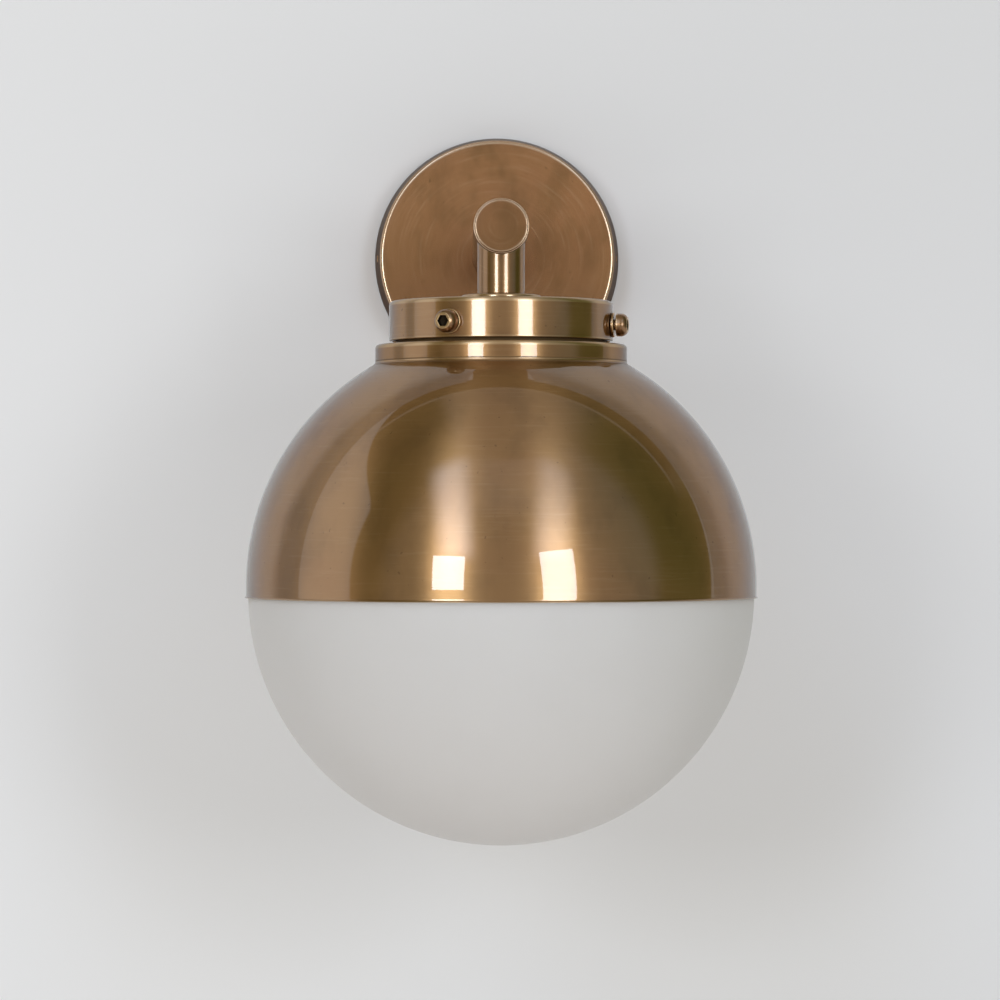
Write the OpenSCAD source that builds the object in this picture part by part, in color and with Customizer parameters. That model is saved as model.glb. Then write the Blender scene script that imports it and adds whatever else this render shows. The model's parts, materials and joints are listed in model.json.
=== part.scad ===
// Outdoor wall light: backplate, arm, stem, gallery, half-dome shade and opal globe.
// X runs to the right, Y towards the wall, Z up. The origin lies on the wall plane, on the arm's axis.

/* [Backplate] */
// Diameter of the backplate at the wall
plate_d = 110; // [100:1:150]
// Distance from the wall to the plate's front face
plate_depth = 20.5; // [18:0.5:30]
// How far the side draws in from the wall to the shoulder
plate_draft = 2.6; // [1:0.1:5]
// Thickness of the spun plate
plate_wall = 1.2; // [0.8:0.1:2]
// Radius of the shoulder round the front face
plate_edge = 1.3; // [0.8:0.1:2.5]
// Thickness of the rubber ring at the wall
wall_gasket_t = 1.6; // [1:0.1:3]
// Width of the rubber ring at the wall
wall_gasket_w = 4; // [2:0.5:6]
// Distance from the wall to the screws in the plate's side
plate_screw_y = 11; // [10:0.5:12]

/* [Mounting bracket] */
// Thickness of the steel bracket
bracket_t = 2; // [1.5:0.1:3]
// Width of the strap and its ears
strap_w = 20; // [14:1:26]
// Diameter of the bracket's centre disc
bracket_disc_d = 64; // [60:1:70]
// Distance between the wall slots
slot_spacing = 60; // [50:1:70]
// Width of a wall slot
slot_w = 4.5; // [4:0.1:6]
// Length of a wall slot, end to end
slot_len = 12; // [8:1:14]
// Diameter of the hole for the supply cable
cable_hole_d = 14; // [10:1:18]
// Gap between the ears and the plate's side
ear_gap = 3; // [2:0.5:6]

/* [Arm] */
// Distance from the wall to the stem's axis
arm_reach = 211; // [160:1:260]
// Outer diameter of the arm
arm_d = 22.2; // [20:0.1:28]
// Wall of the arm tube
arm_wall = 1.2; // [1:0.1:2]
// Distance from the stem's axis to the front of the end cap
arm_overhang = 13.5; // [12:0.5:20]
// Thickness of the end cap's head
cap_t = 1.3; // [0.8:0.1:3]
// How far the cap's head stays inside the arm's outline
cap_inset = 0.6; // [0.3:0.1:1]
// Length of the end cap's plug
cap_plug = 3; // [2:0.5:4]

/* [Stem] */
// Distance from the arm's axis down to the gallery's top
stem_drop = 29.6; // [27:0.1:60]
// Outer diameter of the stem
stem_d = 19; // [18:0.1:20]
// Wall of the stem tube
stem_wall = 1.2; // [1:0.1:2]
// Diameter of the rosette at the stem's foot
collar_d = 32.4; // [26:0.1:40]
// Height of the rosette at its rim
collar_rim_h = 2.3; // [1.5:0.1:4]
// Height of the rosette at the stem
collar_top_h = 3.2; // [2.5:0.1:5]

/* [Threaded joints] */
// Diameter of the threaded nipples
nipple_d = 10; // [9:0.5:12]
// Bore of the threaded nipples
nipple_bore = 7; // [6.5:0.1:7.5]
// Length of the tapped bushes
bush_len = 8; // [5:0.5:10]
// Width of the lock nuts across their flats
nut_flats = 14; // [13.5:0.5:17]
// Thickness of the lock nuts
nut_t = 3.5; // [2.5:0.1:4]
// Thickness of the washer
washer_t = 1.2; // [0.8:0.1:1.5]
// Diameter of the washer
washer_d = 20; // [18:1:24]

/* [Gallery] */
// Outer diameter of the gallery
gallery_d = 89.8; // [88:0.1:94]
// Height of the gallery
gallery_h = 16; // [14:0.1:20]
// Thickness of the gallery
gallery_wall = 1.4; // [1:0.1:2]
// Radius of the gallery's top edge
gallery_edge = 1.6; // [1:0.1:3]
// Thickness of the rubber ring over the glass neck
neck_gasket_t = 2; // [1:0.1:3]

/* [Clamp screws] */
// Direction of the first screw, from the front towards the right
screw_1_angle = -27; // [-40:1:-10]
// Direction of the second screw
screw_2_angle = 80; // [60:1:100]
// Direction of the third screw
screw_3_angle = -153; // [-170:1:-130]
// Distance from the gallery's top down to the screws
screw_drop = 9.7; // [7.5:0.1:10.5]
// Diameter of the screw's shank
screw_d = 4.5; // [4:0.1:5]
// Diameter of the screw's head
screw_head_d = 9.2; // [8:0.1:10]
// Length of the screw's head
screw_head_len = 4.5; // [4:0.1:6]
// Diameter of the head's flat end
screw_end_d = 6; // [5.5:0.1:7]
// Width of the hex socket across its corners
socket_d = 4.8; // [3:0.1:5]
// Depth of the hex socket
socket_depth = 2.4; // [1:0.1:3]
// Diameter of the round lock nut
lock_nut_d = 9.9; // [9:0.1:11]
// Thickness of the round lock nut
lock_nut_t = 1; // [0.8:0.1:1.5]
// Bare shank between lock nut and head
screw_gap = 0.8; // [0.5:0.1:2]

/* [Globe] */
// Diameter of the glass globe
globe_d = 202.8; // [190:0.2:220]
// Thickness of the glass
glass_t = 3; // [2:0.1:4]
// Outer diameter of the glass neck
neck_d = 80; // [78:0.5:81]
// Height of the neck above the sphere
neck_h = 19.6; // [18:0.1:24]

/* [Dome shade] */
// Thickness of the brass dome
dome_wall = 0.7; // [0.5:0.1:1.5]
// Gap between dome and glass at the rim
dome_gap = 0.4; // [0.3:0.1:1]
// How far the dome's centre lies above the globe's
dome_lift = 2.5; // [1:0.1:4]
// How far the rim lies below the globe's centre
dome_rim_drop = 2.2; // [0:0.1:10]
// Height of the band round the rim
rim_band_h = 3.8; // [2:0.1:6]
// How far the band stands out
rim_band_out = 0.5; // [0.2:0.1:1]
// Diameter of the dome's stepped collar
dome_collar_d = 101; // [96:0.1:110]
// Radius of the stepped collar's top edge
dome_collar_edge = 1.5; // [0.8:0.1:2.5]
// Thickness of the sheet in the stepped collar
dome_collar_wall = 0.8; // [0.5:0.1:1.5]
// Groove between gallery and dome collar
groove_h = 1.4; // [0.8:0.1:3]
// Clearance round the glass neck in the dome
dome_neck_gap = 1.5; // [0.6:0.1:2]
// Clearance round the glass neck in the silicone ring
shade_ring_gap = 0.6; // [0.3:0.1:1]
// Width of the silicone ring between glass shoulder and dome
shade_ring_w = 5.9; // [3:0.1:8]

/* [Lampholder] */
// Diameter of the lampholder's cap
holder_cap_d = 35; // [32:0.5:40]
// Height of the lampholder's cap
holder_cap_h = 14; // [13:0.5:18]
// Diameter of the lampholder's body
holder_body_d = 39; // [36:0.5:44]
// Height of the lampholder's body
holder_body_h = 31; // [28:0.5:36]
// Wall of the lampholder's shells
holder_wall = 2; // [1.5:0.1:3]
// Thickness of the disc that carries the contacts
holder_disc_t = 4; // [3:0.5:5]
// Thickness of the contact shell
shell_t = 0.6; // [0.4:0.1:1]

/* [Lamp] */
// Diameter of the lamp's screw cap
lamp_cap_d = 26.4; // [26:0.1:27]
// Height of the lamp's screw cap
lamp_cap_h = 22; // [20:0.5:24]
// Diameter of the lamp's envelope
bulb_d = 60; // [50:1:62]
// Distance from the screw cap to the envelope's centre
bulb_reach = 52; // [46:1:56]
// Thickness of the envelope
bulb_t = 1; // [0.6:0.1:1.5]

/* [Wiring] */
// Diameter of an insulated wire
wire_d = 1.8; // [1.5:0.1:2]
// Width of the terminal block
block_w = 26; // [24:0.5:28]
// Height of the terminal block
block_h = 15; // [13:0.5:16]
// Depth of the terminal block from the bracket
block_t = 11; // [10:0.5:12]
// Distance from the arm's axis up to the terminal block
block_up = 14; // [12:0.5:15]
// Distance between neighbouring terminals
terminal_pitch = 8; // [7:0.5:8.5]

/* [Hidden] */
$fn = 96;
eps = 0.01;

// Clearances
seat_gap = 0.3;
slip = 0.05;
thread_gap = 0.1;

// Backplate, from the wall outwards
plate_r = plate_d / 2;
shoulder_r = plate_r - plate_draft;
plate_inside = plate_depth - plate_wall;
side_slope = plate_draft / (plate_depth - plate_edge - wall_gasket_t);
plate_screw_r = plate_r - side_slope * (plate_screw_y - wall_gasket_t);
plate_screw_d = 3.8;
ear_r = plate_r - plate_wall - plate_draft - ear_gap;
ear_top = plate_screw_y + 4;

// Arm and stem
arm_r = arm_d / 2;
arm_bore = arm_r - arm_wall;
arm_end = arm_reach + arm_overhang - cap_t;
stem_r = stem_d / 2;
stem_bore = stem_r - stem_wall;

// Heights, from the top of the gallery downwards
gallery_r = gallery_d / 2;
gallery_top = -stem_drop;
gallery_under = gallery_top - gallery_wall;
gallery_bottom = gallery_top - gallery_h;
clamp_z = gallery_top - screw_drop;
neck_top = gallery_under - neck_gasket_t - seat_gap;
globe_r = globe_d / 2;
neck_r = neck_d / 2;
shoulder_z = neck_top - neck_h;
globe_z = shoulder_z - sqrt(pow(globe_r, 2) - pow(neck_r, 2));
crown_z = globe_z + 0.6 * globe_r;
belly_z = globe_z - 0.48 * globe_r;

// Dome shade
dome_in_r = globe_r + dome_gap;
dome_r = dome_in_r + dome_wall;
dome_z = globe_z + dome_lift;
rim_z = globe_z - dome_rim_drop;
dome_collar_r = dome_collar_d / 2;
dome_collar_top = gallery_bottom - groove_h;
dome_collar_foot = dome_z + sqrt(pow(dome_r, 2) - pow(dome_collar_r, 2));
dome_hole_r = neck_r + dome_neck_gap;
shade_ring_in = neck_r + shade_ring_gap;
shade_ring_out = min(shade_ring_in + shade_ring_w, dome_collar_r - dome_collar_wall - seat_gap);

// Clamp screws, from the stem's axis outwards
screw_r = screw_d / 2;
screw_tip = neck_r + seat_gap;
nut_seat = gallery_r + thread_gap;
head_seat = nut_seat + lock_nut_t + screw_gap;
screw_end = head_seat + screw_head_len;

// Nipples and nuts
nipple_r = nipple_d / 2;
nipple_in = nipple_bore / 2;
nut_r = nut_flats / 2 / cos(30);
arm_nipple_back = plate_inside - washer_t - nut_t - 1.5;
arm_nipple_front = plate_depth + bush_len;

// Lampholder and lamp, downwards
holder_top = gallery_under - nut_t;
holder_joint = holder_top - holder_cap_h;
holder_bottom = holder_joint - holder_body_h;
disc_under = holder_joint - holder_disc_t;
lamp_cap_r = lamp_cap_d / 2;
shell_in = lamp_cap_r + seat_gap;
shell_out = shell_in + shell_t;
contact_t = 1.2;
lamp_tip = disc_under - contact_t - seat_gap;
lamp_base_h = 3;
lamp_cap_top = lamp_tip - lamp_base_h;
lamp_cap_foot = lamp_cap_top - lamp_cap_h;
bulb_z = lamp_cap_foot - bulb_reach;
bulb_r = bulb_d / 2;
holder_terminal_x = 9.5;
holder_terminal_h = 5;

// Wiring
wire_r = wire_d / 2;
knuckle = 0.08;
wire_x = 1.6;
block_top = bracket_t + block_t;
block_mid = bracket_t + block_t / 2;
earth_x = 18;
earth_up = -17;
lug_t = 0.8;

// Points along an arc, from angle a0 to a1
function arc_points(centre, r, a0, a1, steps = 8) =
    [for (i = [0:steps]) let (a = a0 + (a1 - a0) * i / steps) centre + r * [cos(a), sin(a)]];

// Children built along +Z come out of the wall, with their Y upwards
module out_of_wall() rotate([90, 0, 0]) children();

// Children stand on the stem's axis at height z
module on_stem(z = 0) translate([0, -arm_reach, z]) children();

// Children built along +Z point outwards from the stem's axis at the height of the clamp screws
module at_clamp(angle) on_stem(clamp_z) rotate([0, 0, angle]) rotate([90, 0, 0]) children();

// A tube from height z0 up to z1
module ring(r_out, r_in, z0, z1) {
    translate([0, 0, z0])
        difference() {
            cylinder(r = r_out, h = z1 - z0);
            translate([0, 0, -1]) cylinder(r = r_in, h = z1 - z0 + 2);
        }
}

// A hexagonal nut from height z0, with a round bore
module hex_nut(z0, bore_r) {
    translate([0, 0, z0])
        difference() {
            cylinder(r = nut_r, h = nut_t, $fn = 6);
            translate([0, 0, -1]) cylinder(r = bore_r, h = nut_t + 2);
        }
}

// A round rod between two points
module rod(a, b, r) {
    d = b - a;
    translate(a)
        rotate([0, acos(d[2] / norm(d)), atan2(d[1], d[0])])
            cylinder(r = r, h = norm(d), $fn = 48);
}

// A wire through a list of points, with a round knuckle at each bend
module wire(points, r) {
    last = len(points) - 1;
    for (i = [0:last - 1]) rod(points[i], points[i + 1], r);
    for (i = [1:last - 1]) translate(points[i]) sphere(r = r + knuckle, $fn = 48);
}

// Steel strap with a centre disc, wall slots and two tapped ears
module mounting_bracket() {
    color("lightsteelblue")
        out_of_wall()
            difference() {
                union() {
                    translate([-ear_r, -strap_w / 2, 0]) cube([2 * ear_r, strap_w, bracket_t]);
                    cylinder(d = bracket_disc_d, h = bracket_t);
                    for (side = [-1, 1])
                        translate([side > 0 ? ear_r - bracket_t : -ear_r, -strap_w / 2, 0])
                            cube([bracket_t, strap_w, ear_top]);
                }
                translate([0, 0, -1]) cylinder(d = cable_hole_d, h = bracket_t + 2);
                for (side = [-1, 1]) translate([side * slot_spacing / 2, 0, -1]) wall_slot();
                translate([earth_x, earth_up, -1]) cylinder(r = 2 + thread_gap, h = bracket_t + 2);
                for (side = [-1, 1])
                    translate([side * (ear_r - bracket_t - 1), 0, plate_screw_y])
                        rotate([0, side * 90, 0])
                            cylinder(d = plate_screw_d + 2 * thread_gap, h = bracket_t + 2);
            }
}

// One slot of the bracket, along X
module wall_slot() {
    reach = (slot_len - slot_w) / 2;
    for (side = [-1, 1]) translate([side * reach, 0, 0]) cylinder(d = slot_w, h = bracket_t + 2);
    translate([-reach, -slot_w / 2, 0]) cube([2 * reach, slot_w, bracket_t + 2]);
}

// Rubber ring that the plate's rim presses on the wall
module wall_gasket() {
    color("dimgray")
        out_of_wall() ring(plate_r - seat_gap, plate_r - seat_gap - wall_gasket_w, 0, wall_gasket_t);
}

// Spun plate with a drawn-in side and a rounded shoulder
module backplate() {
    face_r = shoulder_r - plate_edge;
    profile = concat(
        [[plate_r - plate_wall, wall_gasket_t], [plate_r, wall_gasket_t]],
        arc_points([face_r, plate_depth - plate_edge], plate_edge, 0, 90),
        [[nipple_r + thread_gap, plate_depth], [nipple_r + thread_gap, plate_inside],
         [shoulder_r - plate_wall, plate_inside]]
    );
    color("peru")
        out_of_wall()
            difference() {
                rotate_extrude() polygon(profile);
                for (side = [-1, 1])
                    translate([side * (plate_screw_r - 5), 0, plate_screw_y])
                        rotate([0, side * 90, 0]) cylinder(d = plate_screw_d + 2 * thread_gap, h = 10);
            }
}

// Two grub screws from the plate's side into the bracket's ears
module plate_screws() {
    inner = ear_r - bracket_t - 1;
    color("darkgoldenrod")
        out_of_wall()
            for (side = [-1, 1])
                translate([side * inner, 0, plate_screw_y])
                    rotate([0, side * 90, 0])
                        difference() {
                            cylinder(d = plate_screw_d, h = plate_screw_r - inner);
                            translate([0, 0, plate_screw_r - inner - 1.5])
                                cylinder(d = 2.3, h = 2, $fn = 6);
                        }
}

// Arm from the plate's face to the end cap, open below for the stem
module arm_tube() {
    color("peru")
        out_of_wall()
            difference() {
                ring(arm_r, arm_bore, plate_depth, arm_end);
                translate([0, 0, arm_reach])
                    rotate([90, 0, 0]) cylinder(r = stem_bore - 1, h = arm_r + 1);
            }
}

// Flat plug with a chamfered head
module arm_end_cap() {
    head_r = arm_r - cap_inset;
    plug_r = arm_bore - slip;
    chamfer = 0.4;
    color("peru")
        out_of_wall()
            rotate_extrude()
                polygon([
                    [0, arm_end - cap_plug], [plug_r, arm_end - cap_plug], [plug_r, arm_end],
                    [head_r, arm_end], [head_r, arm_end + cap_t - chamfer],
                    [head_r - chamfer, arm_end + cap_t], [0, arm_end + cap_t]
                ]);
}

// Tapped bush in the arm's rear end
module arm_bush() {
    color("goldenrod")
        out_of_wall() ring(arm_bore - slip, nipple_r + slip, plate_depth, plate_depth + bush_len);
}

// Threaded tube through the plate into the arm
module arm_nipple() {
    color("goldenrod") out_of_wall() ring(nipple_r, nipple_in, arm_nipple_back, arm_nipple_front);
}

module arm_washer() {
    color("silver")
        out_of_wall() ring(washer_d / 2, nipple_r + slip, plate_inside - washer_t, plate_inside);
}

module arm_locknut() {
    color("goldenrod") out_of_wall() hex_nut(plate_inside - washer_t - nut_t, nipple_r + slip);
}

// Stem from the arm's underside to the gallery, with a saddle cut at its top
module stem_tube() {
    color("peru")
        difference() {
            on_stem() ring(stem_r, stem_bore, gallery_top, 0);
            out_of_wall()
                translate([0, 0, arm_reach - arm_d]) cylinder(r = arm_r + slip, h = 2 * arm_d);
        }
}

// Low domed rosette round the stem's foot
module stem_collar() {
    rim_r = collar_d / 2;
    round_r = 0.6;
    inner = stem_r + slip;
    profile = concat(
        [[inner, 0], [rim_r, 0]],
        arc_points([rim_r - round_r, collar_rim_h - round_r], round_r, 0, 80, 5),
        [[inner + 0.8, collar_top_h], [inner, collar_top_h]]
    );
    color("peru") on_stem(gallery_top) rotate_extrude() polygon(profile);
}

// Tapped bush in the stem's lower end
module stem_bush() {
    color("goldenrod")
        on_stem(gallery_top) ring(stem_bore - slip, nipple_r + slip, 0, bush_len);
}

// Threaded tube that holds stem, gallery and lampholder together
module stem_nipple() {
    color("goldenrod")
        on_stem() ring(nipple_r, nipple_in, holder_top - holder_wall - 1, gallery_top + bush_len);
}

module stem_locknut() {
    color("goldenrod") on_stem() hex_nut(gallery_under - nut_t, nipple_r + slip);
}

// Cup that covers the glass neck, with three tapped holes
module gallery() {
    inner = gallery_r - gallery_wall;
    hem = 0.5;
    profile = concat(
        [[nipple_r + slip, -gallery_wall], [nipple_r + slip, 0]],
        arc_points([gallery_r - gallery_edge, -gallery_edge], gallery_edge, 90, 0),
        arc_points([gallery_r - hem, hem - gallery_h], hem, 0, -90, 4),
        [[inner, -gallery_h], [inner, -gallery_wall]]
    );
    color("peru")
        difference() {
            on_stem(gallery_top) rotate_extrude() polygon(profile);
            for (angle = [screw_1_angle, screw_2_angle, screw_3_angle])
                at_clamp(angle)
                    translate([0, 0, gallery_r - 8]) cylinder(r = screw_r + thread_gap, h = 16);
        }
}

// Rubber ring between the gallery's top and the glass neck
module gallery_gasket() {
    color("dimgray")
        on_stem()
            ring(gallery_r - gallery_wall - seat_gap, neck_r - glass_t - 1,
                 gallery_under - neck_gasket_t, gallery_under);
}

// Clamp screw with a rounded head and a hex socket
module clamp_screw(angle) {
    head_r = screw_head_d / 2;
    end_r = screw_end_d / 2;
    round_r = head_r - end_r;
    profile = concat(
        [[0, screw_tip], [screw_r, screw_tip], [screw_r, head_seat], [head_r, head_seat]],
        arc_points([end_r, screw_end - round_r], round_r, 0, 90, 6),
        [[0, screw_end]]
    );
    color("darkgoldenrod")
        at_clamp(angle)
            difference() {
                rotate_extrude() polygon(profile);
                translate([0, 0, screw_end - socket_depth])
                    cylinder(d = socket_d, h = socket_depth + 1, $fn = 6);
            }
}

module clamp_screw_1() { clamp_screw(screw_1_angle); }
module clamp_screw_2() { clamp_screw(screw_2_angle); }
module clamp_screw_3() { clamp_screw(screw_3_angle); }

// Round lock nut with a softened outer edge
module lock_nut(angle) {
    outer = lock_nut_d / 2;
    inner = screw_r + thread_gap;
    soft = 0.35;
    profile = concat(
        [[inner, 0], [outer, 0]],
        arc_points([outer - soft, lock_nut_t - soft], soft, 0, 90, 4),
        [[inner, lock_nut_t]]
    );
    color("darkgoldenrod")
        at_clamp(angle) translate([0, 0, nut_seat]) rotate_extrude() polygon(profile);
}

module lock_nut_1() { lock_nut(screw_1_angle); }
module lock_nut_2() { lock_nut(screw_2_angle); }
module lock_nut_3() { lock_nut(screw_3_angle); }

// Upper shell of the lampholder, screwed on the nipple
module lampholder_cap() {
    color("white")
        on_stem() {
            ring(holder_cap_d / 2, nipple_r + slip, holder_top - holder_wall, holder_top);
            ring(holder_cap_d / 2, holder_cap_d / 2 - holder_wall, holder_joint, holder_top - holder_wall);
        }
}

// Lower shell of the lampholder, with the disc that carries the contacts
module lampholder_body() {
    color("white")
        on_stem() {
            translate([0, 0, disc_under]) cylinder(d = holder_body_d, h = holder_disc_t);
            ring(holder_body_d / 2, holder_body_d / 2 - holder_wall, holder_bottom, disc_under);
        }
}

// Brass sleeve that the lamp's cap screws into
module contact_shell() {
    color("gold") on_stem() ring(shell_out, shell_in, holder_bottom + 2, disc_under);
}

// Sprung tongue under the lamp's tip
module centre_contact() {
    tongue = [14, 5, contact_t];
    color("gold") on_stem(disc_under - contact_t) translate([-tongue[0] / 2, -tongue[1] / 2, 0]) cube(tongue);
}

// Two terminal screws on the disc, inside the lampholder's cap
module holder_terminals() {
    color("gold")
        for (side = [-1, 1])
            on_stem(holder_joint)
                translate([side * holder_terminal_x, 0, 0])
                    difference() {
                        cylinder(r = 2.5, h = holder_terminal_h);
                        translate([-3, -0.4, holder_terminal_h - 1]) cube([6, 0.8, 2]);
                    }
}

// Glass envelope: a sphere with a conical neck into the cap
module lamp_envelope() {
    color("whitesmoke")
        on_stem(bulb_z)
            difference() {
                envelope_solid(bulb_r, lamp_cap_r - 0.5);
                envelope_solid(bulb_r - bulb_t, lamp_cap_r - 0.5 - bulb_t);
                translate([0, 0, bulb_reach]) cylinder(r = lamp_cap_r, h = 10);
            }
}

// Sphere and tangent cone that meet below the cap
module envelope_solid(r, top_r) {
    lean = 34;
    join_z = r * sin(lean);
    sphere(r = r);
    translate([0, 0, join_z]) cylinder(r1 = r * cos(lean), r2 = top_r, h = bulb_reach - join_z + eps);
}

// Screw cap of the lamp, with rolled threads
module lamp_cap() {
    pitch = 3.6;
    depth = 0.8;
    turns = floor((lamp_cap_h - 4) / pitch);
    root = lamp_cap_r - depth;
    wall = 0.5;
    threads = [for (i = [0:turns * 8]) [root + depth * (0.5 - 0.5 * cos(i * 45)), i * pitch / 8]];
    profile = concat(
        [[0, -wall]], [[root, -wall]],
        [for (p = threads) [p[0], -wall - p[1]]],
        [[root, -lamp_cap_h], [root - wall, -lamp_cap_h], [root - wall, -2 * wall], [0, -2 * wall]]
    );
    color("silver") on_stem(lamp_cap_top) rotate_extrude() polygon(profile);
}

// Insulated tip of the lamp
module lamp_contact() {
    color("dimgray")
        on_stem(lamp_cap_top)
            rotate_extrude()
                polygon([[0, -0.5], [9, -0.5], [6, lamp_base_h - 1], [4.5, lamp_base_h - 1],
                         [4.5, lamp_base_h], [0, lamp_base_h]]);
}

// Three-way terminal block on the bracket's upper half
module terminal_block() {
    color("ivory")
        out_of_wall()
            difference() {
                translate([-block_w / 2, block_up, bracket_t]) cube([block_w, block_h, block_t]);
                for (i = [-1, 0, 1]) {
                    translate([i * terminal_pitch, block_up + block_h + 1, block_mid])
                        rotate([90, 0, 0]) cylinder(r = wire_r + 0.3, h = block_h + 2);
                    for (row = [0.25, 0.75])
                        translate([i * terminal_pitch, block_up + row * block_h, block_mid + wire_r + 0.6])
                            cylinder(r = 2.1, h = block_t);
                }
            }
}

// Six slotted screws of the terminal block
module terminal_screws() {
    foot = block_mid + wire_r + 0.6;
    head = block_top - 0.8;
    color("gold")
        out_of_wall()
            for (i = [-1, 0, 1], row = [0.25, 0.75])
                translate([i * terminal_pitch, block_up + row * block_h, foot])
                    difference() {
                        cylinder(r = 2, h = head - foot);
                        translate([-3, -0.3, head - foot - 0.8]) cube([6, 0.6, 2]);
                    }
}

// Earth screw, washer and ring lug on the bracket
module earth_screw() {
    seat = bracket_t + 2 * lug_t;
    color("goldenrod")
        out_of_wall()
            translate([earth_x, earth_up, 0])
                difference() {
                    union() {
                        translate([0, 0, 0.1]) cylinder(r = 2, h = seat);
                        translate([0, 0, seat]) cylinder(r = 3.8, h = 2.4);
                    }
                    translate([-5, -0.5, seat + 1.4]) cube([10, 1, 2]);
                }
}

module earth_washer() {
    color("silver")
        out_of_wall()
            translate([earth_x, earth_up, 0]) ring(4.5, 2 + thread_gap, bracket_t, bracket_t + lug_t);
}

module earth_lug() {
    barrel_r = wire_r + 0.7;
    color("gold")
        out_of_wall()
            translate([earth_x, earth_up, bracket_t + lug_t])
                difference() {
                    union() {
                        cylinder(r = 4, h = lug_t);
                        translate([0, 10, barrel_r]) rotate([90, 0, 0]) cylinder(r = barrel_r, h = 6);
                        translate([-1.5, 3, 0]) cube([3, 6, lug_t]);
                    }
                    translate([0, 0, -1]) cylinder(r = 2 + thread_gap, h = lug_t + 2);
                    translate([0, 11, barrel_r]) rotate([90, 0, 0]) cylinder(r = wire_r + slip, h = 6);
                }
}

// Wire from the terminal block through arm and stem to a terminal of the lampholder
module supply_wire(side) {
    block_x = side < 0 ? -terminal_pitch : 0;
    x = side * wire_x;
    inside_z = holder_top - holder_wall - 2;
    end_z = holder_joint + holder_terminal_h;
    wire([
        [block_x, -block_mid, block_up + 3],
        [block_x, -block_mid, block_up - 3],
        [x, -arm_nipple_back + 1.5, 0],
        [x, -arm_reach, 0],
        [x, -arm_reach, inside_z],
        [side * holder_terminal_x, -arm_reach, end_z + 1.5],
        [side * holder_terminal_x, -arm_reach, end_z]
    ], wire_r);
}

module live_wire() { color("saddlebrown") supply_wire(-1); }
module neutral_wire() { color("steelblue") supply_wire(1); }

// Short wire from the terminal block to the earth lug
module earth_wire() {
    lug_y = -(bracket_t + lug_t + wire_r + 0.7);
    color("yellowgreen")
        wire([
            [terminal_pitch, -block_mid, block_up + 3],
            [terminal_pitch, -block_mid, block_up - 3],
            [earth_x, lug_y, earth_up + 14],
            [earth_x, lug_y, earth_up + 6]
        ], wire_r);
}

// The opal glass globe is one piece. Its bowl, belly, crown and neck are nodes of their own, face to face.
module globe_glass(z0, z1) {
    color("gainsboro")
        on_stem()
            difference() {
                translate([0, 0, globe_z]) sphere(r = globe_r);
                translate([0, 0, globe_z]) sphere(r = globe_r - glass_t);
                translate([0, 0, z1]) cylinder(r = globe_r + 1, h = globe_d);
                translate([0, 0, z0 - globe_d]) cylinder(r = globe_r + 1, h = globe_d);
                translate([0, 0, globe_z]) cylinder(r = neck_r - glass_t, h = globe_r + 1);
            }
}

// Bowl of the globe, up to its belly
module globe() globe_glass(globe_z - globe_r - 1, belly_z);

// Belly of the globe, open at both ends
module globe_belly() globe_glass(belly_z, crown_z);

// Crown of the globe, open at the shoulder where its neck stands
module globe_crown() globe_glass(crown_z, shoulder_z);

// Straight neck of the globe
module globe_neck() {
    color("gainsboro") on_stem() ring(neck_r, neck_r - glass_t, shoulder_z, neck_top);
}

// Half dome with a stepped collar round the neck and a band round its rim
module dome_shade() {
    inner_collar_r = dome_collar_r - dome_collar_wall;
    color("peru")
        on_stem()
            difference() {
                union() {
                    intersection() {
                        translate([0, 0, dome_z]) sphere(r = dome_r);
                        translate([0, 0, rim_z])
                            cylinder(r = dome_r + 1, h = dome_collar_foot - rim_z + eps);
                    }
                    translate([0, 0, dome_collar_foot]) dome_collar();
                    translate([0, 0, rim_z]) rim_band();
                }
                translate([0, 0, dome_z]) sphere(r = dome_in_r);
                translate([0, 0, dome_z])
                    cylinder(r = inner_collar_r, h = dome_collar_top - dome_collar_wall - dome_z);
                translate([0, 0, dome_z]) cylinder(r = dome_hole_r, h = globe_r);
            }
}

// Stepped collar from its foot on the dome to its flat top
module dome_collar() {
    h = dome_collar_top - dome_collar_foot;
    profile = concat(
        [[0, -2], [dome_collar_r, -2]],
        arc_points([dome_collar_r - dome_collar_edge, h - dome_collar_edge], dome_collar_edge, 0, 90),
        [[0, h]]
    );
    intersection() {
        rotate_extrude() polygon(profile);
        translate([0, 0, -2]) cylinder(r = dome_collar_r + 1, h = h + 3);
    }
}

// Flat band round the rim, with softened edges
module rim_band() {
    band_r = dome_r + rim_band_out;
    soft = 0.3;
    rotate_extrude()
        polygon([[dome_r - 3, 0], [band_r - soft, 0], [band_r, soft], [band_r, rim_band_h - soft],
                 [band_r - soft, rim_band_h], [dome_r - 3, rim_band_h]]);
}

// Silicone ring on the glass shoulder, under the dome's collar
module shade_ring() {
    top = dome_collar_top - dome_collar_wall;
    color("whitesmoke")
        on_stem()
            difference() {
                ring(shade_ring_out, shade_ring_in, globe_z, top);
                translate([0, 0, globe_z]) sphere(r = globe_r + seat_gap);
            }
}

mounting_bracket();
wall_gasket();
backplate();
plate_screws();
arm_tube();
arm_end_cap();
arm_bush();
arm_nipple();
arm_washer();
arm_locknut();
stem_tube();
stem_collar();
stem_bush();
stem_nipple();
stem_locknut();
gallery();
gallery_gasket();
clamp_screw_1();
clamp_screw_2();
clamp_screw_3();
lock_nut_1();
lock_nut_2();
lock_nut_3();
lampholder_cap();
lampholder_body();
contact_shell();
centre_contact();
holder_terminals();
lamp_envelope();
lamp_cap();
lamp_contact();
terminal_block();
terminal_screws();
earth_screw();
earth_washer();
earth_lug();
live_wire();
neutral_wire();
earth_wire();
globe();
globe_belly();
globe_crown();
globe_neck();
dome_shade();
shade_ring();
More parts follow.
